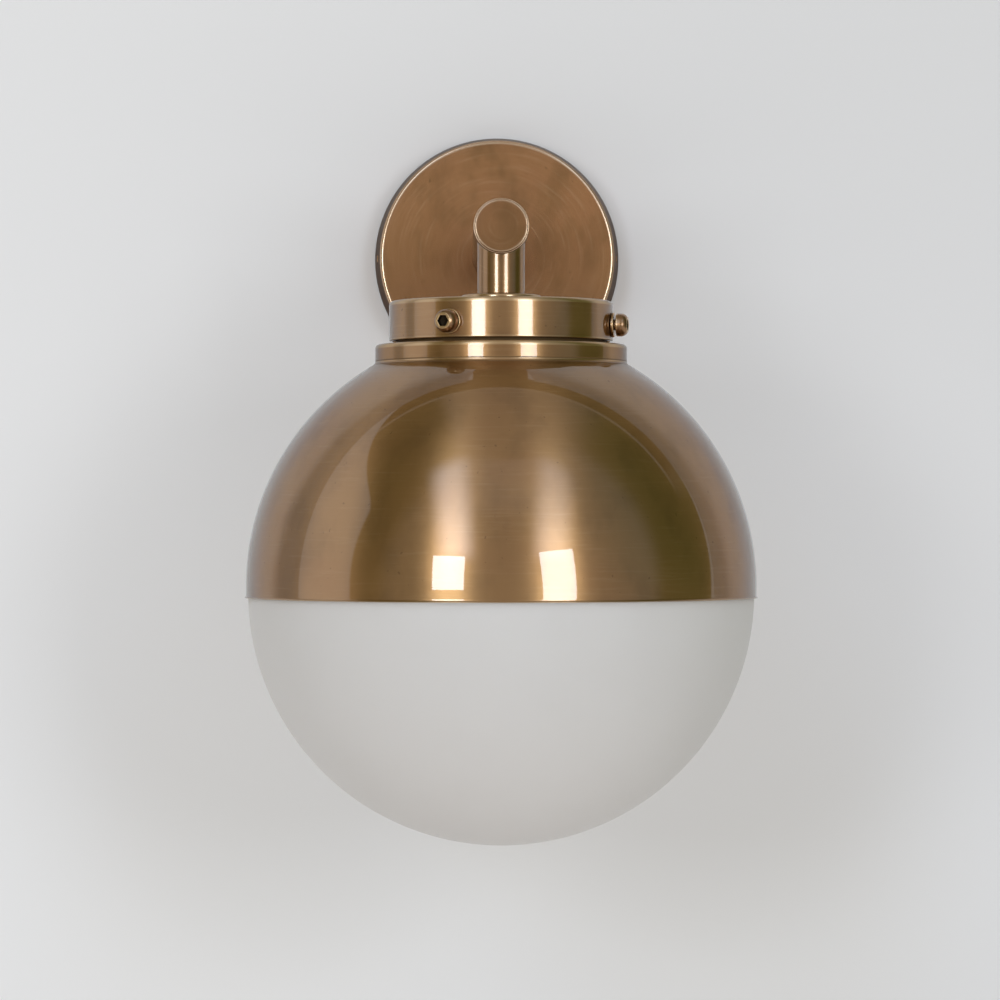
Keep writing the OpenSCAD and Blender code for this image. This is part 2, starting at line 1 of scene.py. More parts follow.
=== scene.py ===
"""Outdoor wall light: brass backplate, arm, stem, gallery and half-dome shade with an opal globe.

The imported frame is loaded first, and every piece takes its place and its overall size from it.
Lengths are in metres and angles in radians, unless a name says degrees.
"""

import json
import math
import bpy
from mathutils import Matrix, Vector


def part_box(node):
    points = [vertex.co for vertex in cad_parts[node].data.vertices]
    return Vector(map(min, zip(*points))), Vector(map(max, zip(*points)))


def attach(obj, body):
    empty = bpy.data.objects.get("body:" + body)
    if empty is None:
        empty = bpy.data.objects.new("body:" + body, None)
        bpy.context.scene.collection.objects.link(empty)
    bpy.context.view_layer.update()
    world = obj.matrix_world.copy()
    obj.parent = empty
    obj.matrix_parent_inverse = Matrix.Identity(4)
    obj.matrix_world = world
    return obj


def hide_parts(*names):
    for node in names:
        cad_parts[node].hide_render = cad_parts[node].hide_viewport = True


bl_info = {
    "name": "Outdoor Wall Light",
    "version": (1, 0, 0),
    "blender": (4, 5, 0),
    "location": "3D View > Sidebar > Wall Light",
    "description": "Dresses the frame of an outdoor wall light in brass, opal glass and its fittings",
    "category": "Add Mesh",
}

import bpy
import numpy as np
from mathutils import Quaternion, Vector

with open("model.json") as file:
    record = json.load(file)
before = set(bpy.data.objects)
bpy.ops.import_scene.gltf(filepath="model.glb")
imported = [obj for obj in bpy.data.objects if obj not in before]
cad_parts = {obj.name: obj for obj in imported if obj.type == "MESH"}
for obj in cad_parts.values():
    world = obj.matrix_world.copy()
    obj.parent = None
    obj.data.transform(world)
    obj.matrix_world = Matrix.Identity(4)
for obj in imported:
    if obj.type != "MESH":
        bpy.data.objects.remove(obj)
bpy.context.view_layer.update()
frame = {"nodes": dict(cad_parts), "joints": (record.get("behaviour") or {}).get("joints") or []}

MM = 0.001
BEND_STEPS = 8
HOLD_NEAR = 0.08 * MM
HOLD_FAR = 0.7 * MM
SOFT = 0.15 * MM
SHARP_ANGLE = math.radians(40)
HOLE_REACH = 8
HOLE_CORE = 4
HOLE_SPREAD = 1.9
PLUG_GAP = 0.05 * MM
SEAT_GAP = 0.3 * MM


def corners(node):
    """Lowest and highest corner of a frame node, as arrays."""
    low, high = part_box(node)
    return np.array(low), np.array(high)


def joint_axis(name):
    """Direction of one of the frame's joints."""
    return np.array(next(joint["axis"] for joint in frame["joints"] if joint["name"] == name), float)


GLOBE_NODES = ("globe", "globe_belly", "globe_crown", "globe_neck")

gallery_low, gallery_high = corners("gallery")
dome_low, dome_high = corners("dome_shade")
plate_low, plate_high = corners("backplate")
arm_low, arm_high = corners("arm_tube")
stem_low, stem_high = corners("stem_tube")

STEM_Y = (gallery_low[1] + gallery_high[1]) / 2
CLAMP_Z = (corners("clamp_screw_2")[0][2] + corners("clamp_screw_2")[1][2]) / 2
GLOBE_R = max(corners(node)[1][0] for node in GLOBE_NODES)
GLOBE_Z = corners("globe")[0][2] + GLOBE_R

X = np.array([1.0, 0.0, 0.0])
Y = np.array([0.0, 1.0, 0.0])
Z = np.array([0.0, 0.0, 1.0])
WALL_AXIS = (np.zeros(3), X, Z, -Y)
STEM_AXIS = (STEM_Y * Y, X, Y, Z)


def clamp_axis(number):
    """The axis of a clamp screw, outwards from the stem's own axis."""
    outwards = joint_axis(f"clamp_screw_{number}_back_off")
    return (STEM_Y * Y + CLAMP_Z * Z, np.cross(Z, outwards), Z, outwards)


def side_axis(side, depth):
    """An axis along +X or -X at a distance from the wall, for the screws in the plate's side."""
    return (-depth * Y, side * Y, Z, side * X)


# Profiles. A profile lies in the plane of radius and height, and runs up its outer side.

def line(start, end, stops=()):
    """A straight run from start to end, with extra points at the shares of its length in stops."""
    shares = np.concatenate([[0.0], np.asarray(stops, float), [1.0]])
    start, end = np.asarray(start, float), np.asarray(end, float)
    return start + shares[:, None] * (end - start)


def through(spots, stops=None, closed=True):
    """Straight runs from each spot to the next. stops gives a run's extra points by its number."""
    ends = [*spots[1:], spots[0]] if closed else spots[1:]
    return [line(spot, end, (stops or {}).get(k, ())) for k, (spot, end) in enumerate(zip(spots, ends))]


def arc(centre, radius, first, last, steps):
    """A run along a circle: centre plus radius times cosine and sine, between two angles in degrees."""
    angles = np.radians(np.linspace(first, last, steps + 1))
    return np.column_stack([centre[0] + radius * np.cos(angles), centre[1] + radius * np.sin(angles)])


def reach_along(run):
    """Distance along a run from its start to each of its points."""
    return np.concatenate([[0.0], np.cumsum(np.linalg.norm(np.diff(run, axis=0), axis=1))])


def trimmed(run, cut_start, cut_end):
    """A run without its two ends. Holding points near the new ends keep smooth shading flat."""
    along = reach_along(run)
    first, last = cut_start, along[-1] - cut_end
    near = min(HOLD_NEAR, 0.1 * (last - first))
    far = min(HOLD_FAR, 0.3 * (last - first))
    inner = along[(along > first + 1.2 * far) & (along < last - 1.2 * far)]
    at = np.concatenate([[first, first + near, first + far], inner, [last - far, last - near, last]])
    points = np.column_stack([np.interp(at, along, run[:, k]) for k in (0, 1)])
    weight = np.zeros(len(at))
    weight[[0, 1, -2, -1]] = [1.0, 0.8, 0.8, 1.0]
    return points, weight


def bend(end, start, heading_in, heading_out):
    """Points of a round corner: a cubic curve with a circle's handles.

    A handle's length is chord * 2/3 * tan(turn / 4) / sin(turn / 2).
    """
    turn = math.acos(max(-1.0, min(1.0, float(heading_in @ heading_out))))
    handle = np.linalg.norm(start - end) * 2 / 3 * math.tan(turn / 4) / max(math.sin(turn / 2), 1e-9)
    t = np.linspace(0, 1, BEND_STEPS + 1)[1:-1, None]
    a, b = end + handle * heading_in, start - handle * heading_out
    return (1 - t) ** 3 * end + 3 * (1 - t) ** 2 * t * a + 3 * (1 - t) * t**2 * b + t**3 * start


def outline(runs, reaches, closed=True):
    """Runs joined by round corners, each cut back by its reach.

    Returns the points, each point's edge value (1 on an outer corner, -1 in an inner one, 0 between) and its
    place: the run's number, with fractions on the corner that follows it.
    """
    count = len(runs)
    cuts = list(reaches) if closed else list(reaches) + [0.0]
    before = [cuts[k - 1] if closed or k else 0.0 for k in range(count)]
    kept = [trimmed(runs[k], before[k], cuts[k]) for k in range(count)]
    points, edge, place = [], [], []
    turns = []
    for k in range(count if closed else count - 1):
        here, following = kept[k][0], kept[(k + 1) % count][0]
        heading_in = (here[-1] - here[-2]) / np.linalg.norm(here[-1] - here[-2])
        heading_out = (following[1] - following[0]) / np.linalg.norm(following[1] - following[0])
        turns.append((heading_in, heading_out, np.sign(np.cross(heading_in, heading_out))))
    for k in range(count):
        spots, weight = kept[k]
        half = len(spots) // 2
        sign_before = turns[k - 1][2] if closed or k else 0.0
        sign_after = turns[k][2] if k < len(turns) else 0.0
        points.append(spots)
        edge.append(np.concatenate([weight[:half] * sign_before, weight[half:] * sign_after]))
        place.append(np.full(len(spots), float(k)))
        if k < len(turns):
            heading_in, heading_out, sign = turns[k]
            round_points = bend(spots[-1], kept[(k + 1) % count][0][0], heading_in, heading_out)
            points.append(round_points)
            edge.append(np.full(len(round_points), sign))
            place.append(k + np.linspace(0, 1, BEND_STEPS + 1)[1:-1])
    return np.concatenate(points), np.concatenate(edge), np.concatenate(place)


# Meshes

def mesh_piece(name, positions, faces, attributes):
    """A smooth-shaded object at the origin, with its place in its mesh and its named point attributes."""
    mesh = bpy.data.meshes.new(name)
    mesh.from_pydata(positions.tolist(), [], faces)
    for label, values in attributes.items():
        kind, field = ("FLOAT_VECTOR", "vector") if values.ndim == 2 else ("FLOAT", "value")
        mesh.attributes.new(label, kind, "POINT").data.foreach_set(field, values.astype(np.float32).ravel())
    mesh.shade_smooth()
    mesh.set_sharp_from_angle(angle=SHARP_ANGLE)
    mesh.update()
    piece = bpy.data.objects.new(name, mesh)
    bpy.context.scene.collection.objects.link(piece)
    return piece


def column_angles(columns, seam, holes, wall_radius):
    """Angles of a lathe's columns: even ones, and closer ones across each hole in place of those near it."""
    even = seam + 2 * math.pi * np.arange(columns) / columns
    blocks = []
    for angle, _, radius in holes:
        angle = seam + (angle - seam) % (2 * math.pi)
        block = angle + np.arcsin(np.linspace(-1, 1, 2 * HOLE_REACH + 1) * HOLE_SPREAD * radius / wall_radius)
        margin = math.pi / columns
        even = even[(even < block[0] - margin) | (even > block[-1] + margin)]
        blocks.append(block)
    return np.sort(np.concatenate([even, *blocks]))


def hole_stops(start, end, height, radius):
    """Shares of a wall's length at the rows that a hole in it needs, from its two ends' heights."""
    rows = height + np.linspace(-1, 1, 2 * HOLE_REACH + 1) * HOLE_SPREAD * radius
    return np.sort((rows - start[1]) / (end[1] - start[1]))


def warp_hole(radii, heights, angles, rows, first_column, hole):
    """Moves a square block of the grid so that its core lies on a circle.

    A point's share t runs from 0 on the core to 1 on the block's border, and the point lies at
    (1 - t) * circle + t * grid.
    """
    angle, height, radius = hole
    steps = np.arange(-HOLE_REACH, HOLE_REACH + 1)
    across, up = np.meshgrid(steps, steps)
    span = np.maximum(np.abs(across), np.abs(up))
    distance = np.maximum(np.hypot(across, up), 1e-9)
    share = np.clip((span - HOLE_CORE) / (HOLE_REACH - HOLE_CORE), 0, 1)
    scale = radius * np.minimum(span / HOLE_CORE, 1.0) / distance
    columns = slice(first_column, first_column + 2 * HOLE_REACH + 1)
    slope = (radii[rows[-1], 0] - radii[rows[0], 0]) / (heights[rows[-1], 0] - heights[rows[0], 0])
    new_height = height + up * scale
    wall = radii[rows[HOLE_REACH], 0] + slope * (new_height - heights[rows[HOLE_REACH], 0])
    new_angle = angle + np.arcsin(across * scale / wall)
    grid_height, grid_angle = heights[rows, columns], angles[rows, columns]
    grid_angle = angle + (grid_angle - angle + math.pi) % (2 * math.pi) - math.pi
    heights[rows, columns] = (1 - share) * new_height + share * grid_height
    angles[rows, columns] = (1 - share) * new_angle + share * grid_angle
    climb = heights[rows, columns] - heights[rows[HOLE_REACH], 0]
    radii[rows, columns] = radii[rows[HOLE_REACH], 0] + slope * climb


def core_ring(index, rows, first_column):
    """Vertices round a hole's core, in order: along the bottom, up, back along the top and down."""
    low, high = HOLE_REACH - HOLE_CORE, HOLE_REACH + HOLE_CORE
    side = np.arange(low, high)
    path = [(low, k) for k in side] + [(k, high) for k in side]
    path += [(high, k) for k in side[::-1] + 1] + [(k, low) for k in side[::-1] + 1]
    return np.array([index[rows[j], first_column + i] for j, i in path])


def lathe(name, profile, axis, columns=192, closed=True, seam=-math.pi, holes=(), walls=None, shape=None):
    """A turned piece: a point (r, h) becomes origin + r cos(a) e1 + r sin(a) e2 + h e3 at each angle a.

    holes are (angle, height, radius), bored through the two straight walls whose run numbers are in walls.
    shape may change the grid's radii, heights and angles. A row on the axis becomes one vertex.
    """
    points, edge, place = profile
    wall_radius = points[place == walls[0], 0].max() if holes else 1.0
    around = column_angles(columns, seam, holes, wall_radius)
    count, width = len(points), len(around)
    radii = np.repeat(points[:, :1], width, axis=1)
    heights = np.repeat(points[:, 1:], width, axis=1)
    angles = np.repeat(around[None, :], count, axis=0)
    index = np.arange(count * width).reshape(count, width)
    on_axis = np.flatnonzero(points[:, 0] < 1e-9)
    index[on_axis] = index[on_axis, :1]
    following = np.roll(index, -1, axis=0) if closed else index[1:]
    current = index if closed else index[:-1]
    quads = np.stack([current, np.roll(current, -1, 1), np.roll(following, -1, 1), following], axis=2)
    keep = np.ones(quads.shape[:2], bool)
    bridges = []
    for hole in holes:
        angle, height, radius = hole
        angle = seam + (angle - seam) % (2 * math.pi)
        half = math.asin(HOLE_SPREAD * radius / wall_radius)
        first_column = int(np.searchsorted(around, angle - half - 1e-6))
        rings = []
        for wall in walls:
            at = (place == wall) & (np.abs(points[:, 1] - height) < HOLE_SPREAD * radius + 1e-7)
            rows = np.flatnonzero(at)
            rows = rows[np.argsort(points[rows, 1])]
            warp_hole(radii, heights, angles, rows, first_column, (angle, height, radius))
            low = min(rows[HOLE_REACH - HOLE_CORE], rows[HOLE_REACH + HOLE_CORE])
            core = slice(first_column + HOLE_REACH - HOLE_CORE, first_column + HOLE_REACH + HOLE_CORE)
            keep[low:low + 2 * HOLE_CORE, core] = False
            rings.append(core_ring(index, rows, first_column))
        outer, inner = rings
        bridges.append(np.stack([outer, np.roll(outer, -1), np.roll(inner, -1), inner], axis=1))
    if shape:
        radii, heights, angles = shape(radii, heights, angles, np.repeat(place[:, None], width, axis=1))
    origin, e1, e2, e3 = axis
    across, beside = radii * np.cos(angles), radii * np.sin(angles)
    positions = origin + across[..., None] * e1 + beside[..., None] * e2 + heights[..., None] * e3
    travel = np.repeat(reach_along(points)[:, None], width, axis=1)
    turned = np.stack([across, beside, travel], axis=2)
    edges = np.repeat(edge[:, None], width, axis=1)
    faces = np.concatenate([quads[keep], *bridges]) if bridges else quads[keep]
    used, compact = np.unique(faces, return_inverse=True)
    compact = compact.reshape(faces.shape)
    flat = (compact == np.roll(compact, -1, axis=1)).any(axis=1)
    triangles = [list(dict.fromkeys(face)) for face in compact[flat].tolist()]
    return mesh_piece(
        name,
        positions.reshape(-1, 3)[used],
        compact[~flat].tolist() + [face for face in triangles if len(face) == 3],
        {"turned": turned.reshape(-1, 3)[used], "edge": edges.reshape(-1)[used]},
    )


def ring_profile(inner, outer, low, high, reaches, stops=None):
    """A ring's section: a rectangle with four round corners."""
    return outline(through([(inner, low), (outer, low), (outer, high), (inner, high)], stops), reaches)


def bowl(name, axis, wall, rim, shoulder, foot, face, hole, side_holes, reaches, seam=-math.pi):
    """A bowl of sheet metal: a side from the rim to the shoulder, holes in it, and a floor with a hole.

    side_holes are (angle, height, radius), all of one height and one radius.
    """
    inside = face - wall
    spots = [(rim - wall, foot), (rim, foot), (shoulder, face), (hole, face), (hole, inside),
             (shoulder - wall, inside)]
    height, radius = side_holes[0][1:]
    floor = np.linspace(0.1, 0.9, 9)
    side, inner_side = (hole_stops(*ends, height, radius) for ends in (spots[1:3], (spots[5], spots[0])))
    runs = through(spots, {1: side, 2: floor, 4: floor, 5: inner_side})
    return lathe(name, outline(runs, reaches), axis, 256, seam=seam, holes=side_holes, walls=(1, 5))


def hexagon(angles):
    """A hexagon's radius as a share of its corner radius: cos(30) over cos of the angle off a side."""
    off_side = (angles % math.radians(60)) - math.radians(30)
    return math.cos(math.radians(30)) / np.cos(off_side)


def threaded(socket_run, depth, pitch):
    """A screw's shape: its radius less a thread's groove on run 1, and a hexagon from socket_run on.

    The groove is depth * (0.5 + 0.5 * cos(2 pi h / pitch - a)).
    """

    def shape(radii, heights, angles, place):
        hexed = np.clip(place - socket_run, 0, 1)
        radii = radii * (1 - hexed + hexed * hexagon(angles))
        groove = depth * (0.5 + 0.5 * np.cos(2 * math.pi * heights / pitch - angles))
        return np.where(place == 1, radii - groove, radii), heights, angles

    return shape


def placed(piece, body, slot, finish, *nodes):
    """Gives a piece its body and its finish, and hides the frame nodes that it stands for. slot is not used.
    """
    piece.data.materials.append(material(finish))
    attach(piece, body)
    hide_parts(*nodes)


# Materials

class Signal:
    """A shader socket. Arithmetic on it adds Math nodes."""

    def __init__(self, recipe, socket):
        self.recipe = recipe
        self.socket = socket

    def maths(self, operation, first, second=0.0):
        return self.recipe.node("ShaderNodeMath", {"operation": operation}, {0: first, 1: second})

    def __add__(self, other):
        return self.maths("ADD", self, other)

    __radd__ = __add__

    def __mul__(self, other):
        return self.maths("MULTIPLY", self, other)

    __rmul__ = __mul__

    def __sub__(self, other):
        return self.maths("SUBTRACT", self, other)

    def __rsub__(self, other):
        return self.maths("SUBTRACT", other, self)

    def __abs__(self):
        return self.maths("ABSOLUTE", self)

    def above(self, low, high):
        """0 below low, 1 above high and a smooth step between."""
        return self.recipe.node(
            "ShaderNodeMapRange", {"interpolation_type": "SMOOTHSTEP"},
            {0: self, 1: low, 2: high, 3: 0.0, 4: 1.0},
        )

    def between(self, low, high):
        """The signal's 0 to 1 spread over low to high."""
        return self * (high - low) + low

    def part(self, number):
        """One of a vector's three parts."""
        return self.recipe.node("ShaderNodeSeparateXYZ", {}, {0: self}, number)


class Recipe:
    """A node tree that is filled in by calls to node()."""

    def __init__(self, tree):
        self.tree = tree
        self.tree.nodes.clear()

    def node(self, kind, settings=None, sockets=None, result=0):
        """Adds a node: its settings first, then its sockets' values or links. Returns one of its results."""
        made = self.tree.nodes.new(kind)
        for label, value in (settings or {}).items():
            if label == "stops":
                ramp = made.color_ramp.elements
                while len(ramp) < len(value):
                    ramp.new(1.0)
                for element, (position, colour) in zip(ramp, value):
                    element.position, element.color = position, colour
            else:
                setattr(made, label, value)
        for label, value in (sockets or {}).items():
            if isinstance(value, Signal):
                self.tree.links.new(value.socket, made.inputs[label])
            else:
                made.inputs[label].default_value = value
        return Signal(self, made.outputs[result])

    def place(self):
        """Object coordinates."""
        return self.node("ShaderNodeTexCoord", result=3)

    def attribute(self, label, result):
        return self.node("ShaderNodeAttribute", {"attribute_name": label}, result=result)

    def noise(self, where, scale, detail=2.0, roughness=0.5):
        """Noise from 0 to 1. A scale of three numbers stretches it along the axes."""
        if not isinstance(scale, (int, float)):
            where = self.node("ShaderNodeVectorMath", {"operation": "MULTIPLY"}, {0: where, 1: scale})
            scale = 1.0
        return self.node(
            "ShaderNodeTexNoise", {},
            {"Vector": where, "Scale": scale, "Detail": detail, "Roughness": roughness},
        )

    def mix(self, first, second, factor):
        """Two colours mixed by a factor."""
        return self.node("ShaderNodeMix", {"data_type": "RGBA"}, {0: factor, 6: first, 7: second}, 2)

    def bump(self, height, distance):
        return self.node("ShaderNodeBump", {}, {"Height": height, "Distance": distance})

    def surface(self, **sockets):
        """Ends the tree in a Principled shader. Underscores in a socket's name stand for spaces."""
        values = {label.replace("_", " "): value for label, value in sockets.items()}
        shader = self.node("ShaderNodeBsdfPrincipled", {}, values)
        self.node_output("ShaderNodeOutputMaterial", shader)

    def node_output(self, kind, shader):
        made = self.tree.nodes.new(kind)
        self.tree.links.new(shader.socket, made.inputs[0])


def rgb(red, green, blue):
    return (red, green, blue, 1.0)


def lacquered_brass(recipe, finish, spun, coat, coat_roughness, dull=0.0):
    """Aged brass under clear lacquer. Spun pieces carry fine lines round their axis, which spread the light.

    The colour drifts in clouds between the brass, a redder and a darker tone, fine lines streak it, and outer
    edges are rubbed bright with a painted highlight. Inner corners are dull with grime and painted shade, and
    plate and arm are painted darker towards the bottom as shade. The lacquer's weight runs between the two
    numbers of coat, less the share in dull.
    """
    place, turned = recipe.place(), recipe.attribute("turned", 1)
    edge = recipe.attribute("edge", 2)
    # Mask of inner corners, and of the dome's lip and bore, for grime and painted shade.
    shaded_hollow = (0.0 - edge).above(0.1, 1.0)
    clouds = recipe.noise(place, 16.0, 4.0, 0.55)
    blotches = recipe.noise(place, (60.0, 60.0, 38.0), 3.0, 0.6)
    streaks = recipe.noise(turned, (45.0, 45.0, 900.0), 3.0, 0.6)
    lines = recipe.noise(turned, (30.0, 30.0, 4200.0), 2.0, 0.6)
    specks = recipe.noise(place, 520.0, 1.0).above(0.74, 0.8)
    brass, red, bright = (finish.brass, finish.brass_red, finish.brass_bright) if spun else (
        finish.plate_brass, finish.plate_red, finish.plate_bright)
    base = recipe.mix(rgb(*brass), rgb(*red), clouds.above(0.35, 0.7))
    base = recipe.mix(base, rgb(*finish.brass_dark), blotches.above(0.42, 0.75) * (0.35 if spun else 0.5))
    base = recipe.mix(base, rgb(*bright), streaks.above(0.5, 0.8) * 0.12)
    # Painted shade: plate and arm darker towards the bottom.
    if not spun:
        base = recipe.mix(base, rgb(*finish.brass_dark), (0.0 - place.part(2)).above(-0.04, 0.06) * 0.55)
    base = recipe.mix(base, rgb(*finish.brass_dark), specks * 0.6)
    # Outer edges lighter: rubbed wear and a painted highlight, such as the gold line on rims and round edges.
    base = recipe.mix(base, rgb(*bright), edge.above(0.2, 1.0) * blotches.between(0.35, 0.9))
    # Inner corners darkened: grime and painted shade.
    base = recipe.mix(base, rgb(*finish.grime_and_shade), shaded_hollow * 0.95)
    roughness = finish.spun_roughness if spun else finish.plate_roughness
    relief = lines * (finish.line_depth if spun else 0.3 * finish.line_depth) + clouds * 0.15
    recipe.surface(
        Base_Color=base,
        Metallic=1.0 - shaded_hollow * 0.7,
        Specular_Tint=rgb(*[finish.grazing] * 3),
        Roughness=(streaks - 0.5) * 0.06 + (clouds - 0.5) * 0.1 + shaded_hollow * 0.35 + roughness,
        Anisotropic=finish.anisotropy if spun else 0.0,
        Anisotropic_Rotation=0.25,
        Coat_Weight=blotches.between(*coat) * (1.0 - shaded_hollow) * (1.0 - dull),
        Coat_Roughness=coat_roughness,
        Coat_IOR=finish.lacquer_ior,
        Normal=recipe.bump(relief, 0.02 * MM),
    )


def dome_brass(recipe, finish):
    """Lacquered brass of the dome shade: mirror-like lacquer, worn on the collar."""
    collar = recipe.place().part(2).above(dome_high[2] - 11 * MM, dome_high[2] - 9 * MM)
    lacquered_brass(recipe, finish, True, (1.0, 0.86), 0.025, collar * 0.25)


def spun_brass(recipe, finish):
    """Lacquered brass of the pieces turned about the stem: gallery, rosette and stem."""
    lacquered_brass(recipe, finish, True, (0.95, 0.8), 0.06)


def plate_brass(recipe, finish):
    """Brass of the backplate and the arm, with hardly any lacquer left."""
    lacquered_brass(recipe, finish, False, (0.1, 0.0), 0.1)


def screw_brass(recipe, finish):
    """Turned brass, darkened, rubbed bright with a painted highlight on its edges and socket rims, and painted
    black in its sockets as shade.
    """
    place, edge = recipe.place(), recipe.attribute("edge", 2)
    clouds = recipe.noise(place, 240.0, 3.0)
    lines = recipe.noise(recipe.attribute("turned", 1), (200.0, 200.0, 9000.0), 1.0)
    base = recipe.mix(rgb(0.30, 0.165, 0.075), rgb(0.17, 0.09, 0.04), clouds.above(0.35, 0.75))
    # Edges and socket rims lighter: rubbed wear and a painted highlight.
    base = recipe.mix(base, rgb(0.66, 0.44, 0.22), edge.above(0.3, 1.0) * 0.8)
    # Sockets painted near black: painted shade.
    shaded_hollow = (0.0 - edge).above(0.3, 1.0)
    base = recipe.mix(base, rgb(0.03, 0.02, 0.012), shaded_hollow)
    recipe.surface(
        Base_Color=base, Metallic=1.0, Roughness=clouds.between(0.2, 0.42) + shaded_hollow * 0.3,
        Coat_Weight=0.6 - shaded_hollow * 0.6, Coat_Roughness=0.08, Normal=recipe.bump(lines, 0.01 * MM),
    )


def plain_metal(low, high, roughness, scale=300.0):
    """A recipe for plated or turned metal: two tones in clouds, fine scratches and a varying roughness."""

    def cook(recipe, finish):
        place = recipe.place()
        clouds = recipe.noise(place, scale, 3.0)
        scratches = recipe.noise(place, (2600.0, 260.0, 900.0), 2.0)
        recipe.surface(
            Base_Color=recipe.mix(rgb(*low), rgb(*high), clouds.above(0.3, 0.7)), Metallic=1.0,
            Roughness=clouds.between(roughness - 0.06, roughness + 0.1),
            Normal=recipe.bump(scratches, 0.01 * MM),
        )

    return cook


def moulded(colour, dark, roughness, grain, depth):
    """A recipe for plastic, rubber or insulation: a colour, a darker tone in clouds and a fine grain."""

    def cook(recipe, finish):
        place = recipe.place()
        clouds = recipe.noise(place, 90.0, 3.0)
        texture = recipe.noise(place, grain, 2.0)
        recipe.surface(
            Base_Color=recipe.mix(rgb(*colour), rgb(*dark), clouds.above(0.35, 0.8)),
            Roughness=texture.between(roughness - 0.06, roughness + 0.06), Normal=recipe.bump(texture, depth),
        )

    return cook


def striped_wire(recipe, finish):
    """Green insulation with a yellow stripe along it."""
    place = recipe.place()
    stripe = recipe.node("ShaderNodeTexWave", {"wave_type": "BANDS", "bands_direction": "X"},
                         {"Vector": place, "Scale": 160.0, "Distortion": 0.6})
    texture = recipe.noise(place, 1500.0, 2.0)
    recipe.surface(
        Base_Color=recipe.mix(rgb(0.05, 0.24, 0.04), rgb(0.75, 0.6, 0.04), stripe.above(0.45, 0.6)),
        Roughness=texture.between(0.32, 0.46), Normal=recipe.bump(texture, 0.01 * MM),
    )


def opal_glass(recipe, finish):
    """Etched opal glass: white through and through, satin, with faint clouds."""
    place = recipe.place()
    clouds = recipe.noise(place, 11.0, 3.0)
    etching = recipe.noise(place, 2600.0, 2.0)
    colour = [tone * 0.96 for tone in finish.glass]
    recipe.surface(
        Base_Color=recipe.mix(rgb(*finish.glass), rgb(*colour), clouds.above(0.3, 0.75)),
        Subsurface_Weight=finish.glass_depth, Subsurface_Radius=(1.0, 1.0, 1.0), Subsurface_Scale=10 * MM,
        Roughness=etching.between(0.5, 0.62), Specular_IOR_Level=0.3, Normal=recipe.bump(etching, 0.006 * MM),
    )


def frosted_glass(recipe, finish):
    """The lamp's envelope: white-coated glass with a soft gloss."""
    place = recipe.place()
    clouds = recipe.noise(place, 45.0, 2.0)
    powder = recipe.noise(place, 1800.0, 2.0)
    recipe.surface(
        Base_Color=recipe.mix(rgb(0.86, 0.855, 0.84), rgb(0.8, 0.79, 0.77), clouds.above(0.35, 0.7)),
        Roughness=powder.between(0.22, 0.3), Coat_Weight=0.5, Coat_Roughness=0.1,
        Normal=recipe.bump(powder, 0.004 * MM),
    )


RECIPES = {
    "dome_brass": dome_brass,
    "spun_brass": spun_brass,
    "plate_brass": plate_brass,
    "screw_brass": screw_brass,
    "plain_brass": plain_metal((0.58, 0.40, 0.17), (0.66, 0.48, 0.22), 0.3),
    "nickel": plain_metal((0.56, 0.54, 0.5), (0.62, 0.6, 0.57), 0.24),
    "zinc_steel": plain_metal((0.50, 0.51, 0.52), (0.60, 0.59, 0.55), 0.38, 140.0),
    "opal_glass": opal_glass,
    "frosted_glass": frosted_glass,
    "black_rubber": moulded((0.022, 0.022, 0.023), (0.035, 0.034, 0.033), 0.62, 1400.0, 0.03 * MM),
    "clear_silicone": moulded((0.62, 0.62, 0.59), (0.55, 0.55, 0.51), 0.36, 900.0, 0.01 * MM),
    "white_holder": moulded((0.76, 0.75, 0.7), (0.7, 0.69, 0.63), 0.34, 1300.0, 0.01 * MM),
    "ivory_plastic": moulded((0.66, 0.6, 0.47), (0.6, 0.54, 0.41), 0.4, 1300.0, 0.012 * MM),
    "brown_wire": moulded((0.075, 0.026, 0.012), (0.06, 0.02, 0.01), 0.36, 1500.0, 0.01 * MM),
    "blue_wire": moulded((0.012, 0.06, 0.26), (0.01, 0.05, 0.2), 0.36, 1500.0, 0.01 * MM),
    "green_wire": striped_wire,
}


def material(name):
    """A recipe's material, made when it is first asked for. The frame's own ones have the plain names."""
    label = f"{name}_finish"
    if label not in bpy.data.materials:
        made = bpy.data.materials.new(label)
        made.use_nodes = True
        RECIPES[name](Recipe(made.node_tree), bpy.context.scene.wall_light_finish)
    return bpy.data.materials[label]


# Settings

def length(name, description, value):
    """A length property, with its default in millimetres."""
    return bpy.props.FloatProperty(name=name, description=description, default=value * MM, min=0.0,
                                   unit="LENGTH", precision=5)


def colour(name, description, value):
    return bpy.props.FloatVectorProperty(name=name, description=description, default=value, subtype="COLOR",
                                         min=0.0, max=1.0)


def share(name, description, value, high=1.0):
    return bpy.props.FloatProperty(name=name, description=description, default=value, min=0.0, max=high)


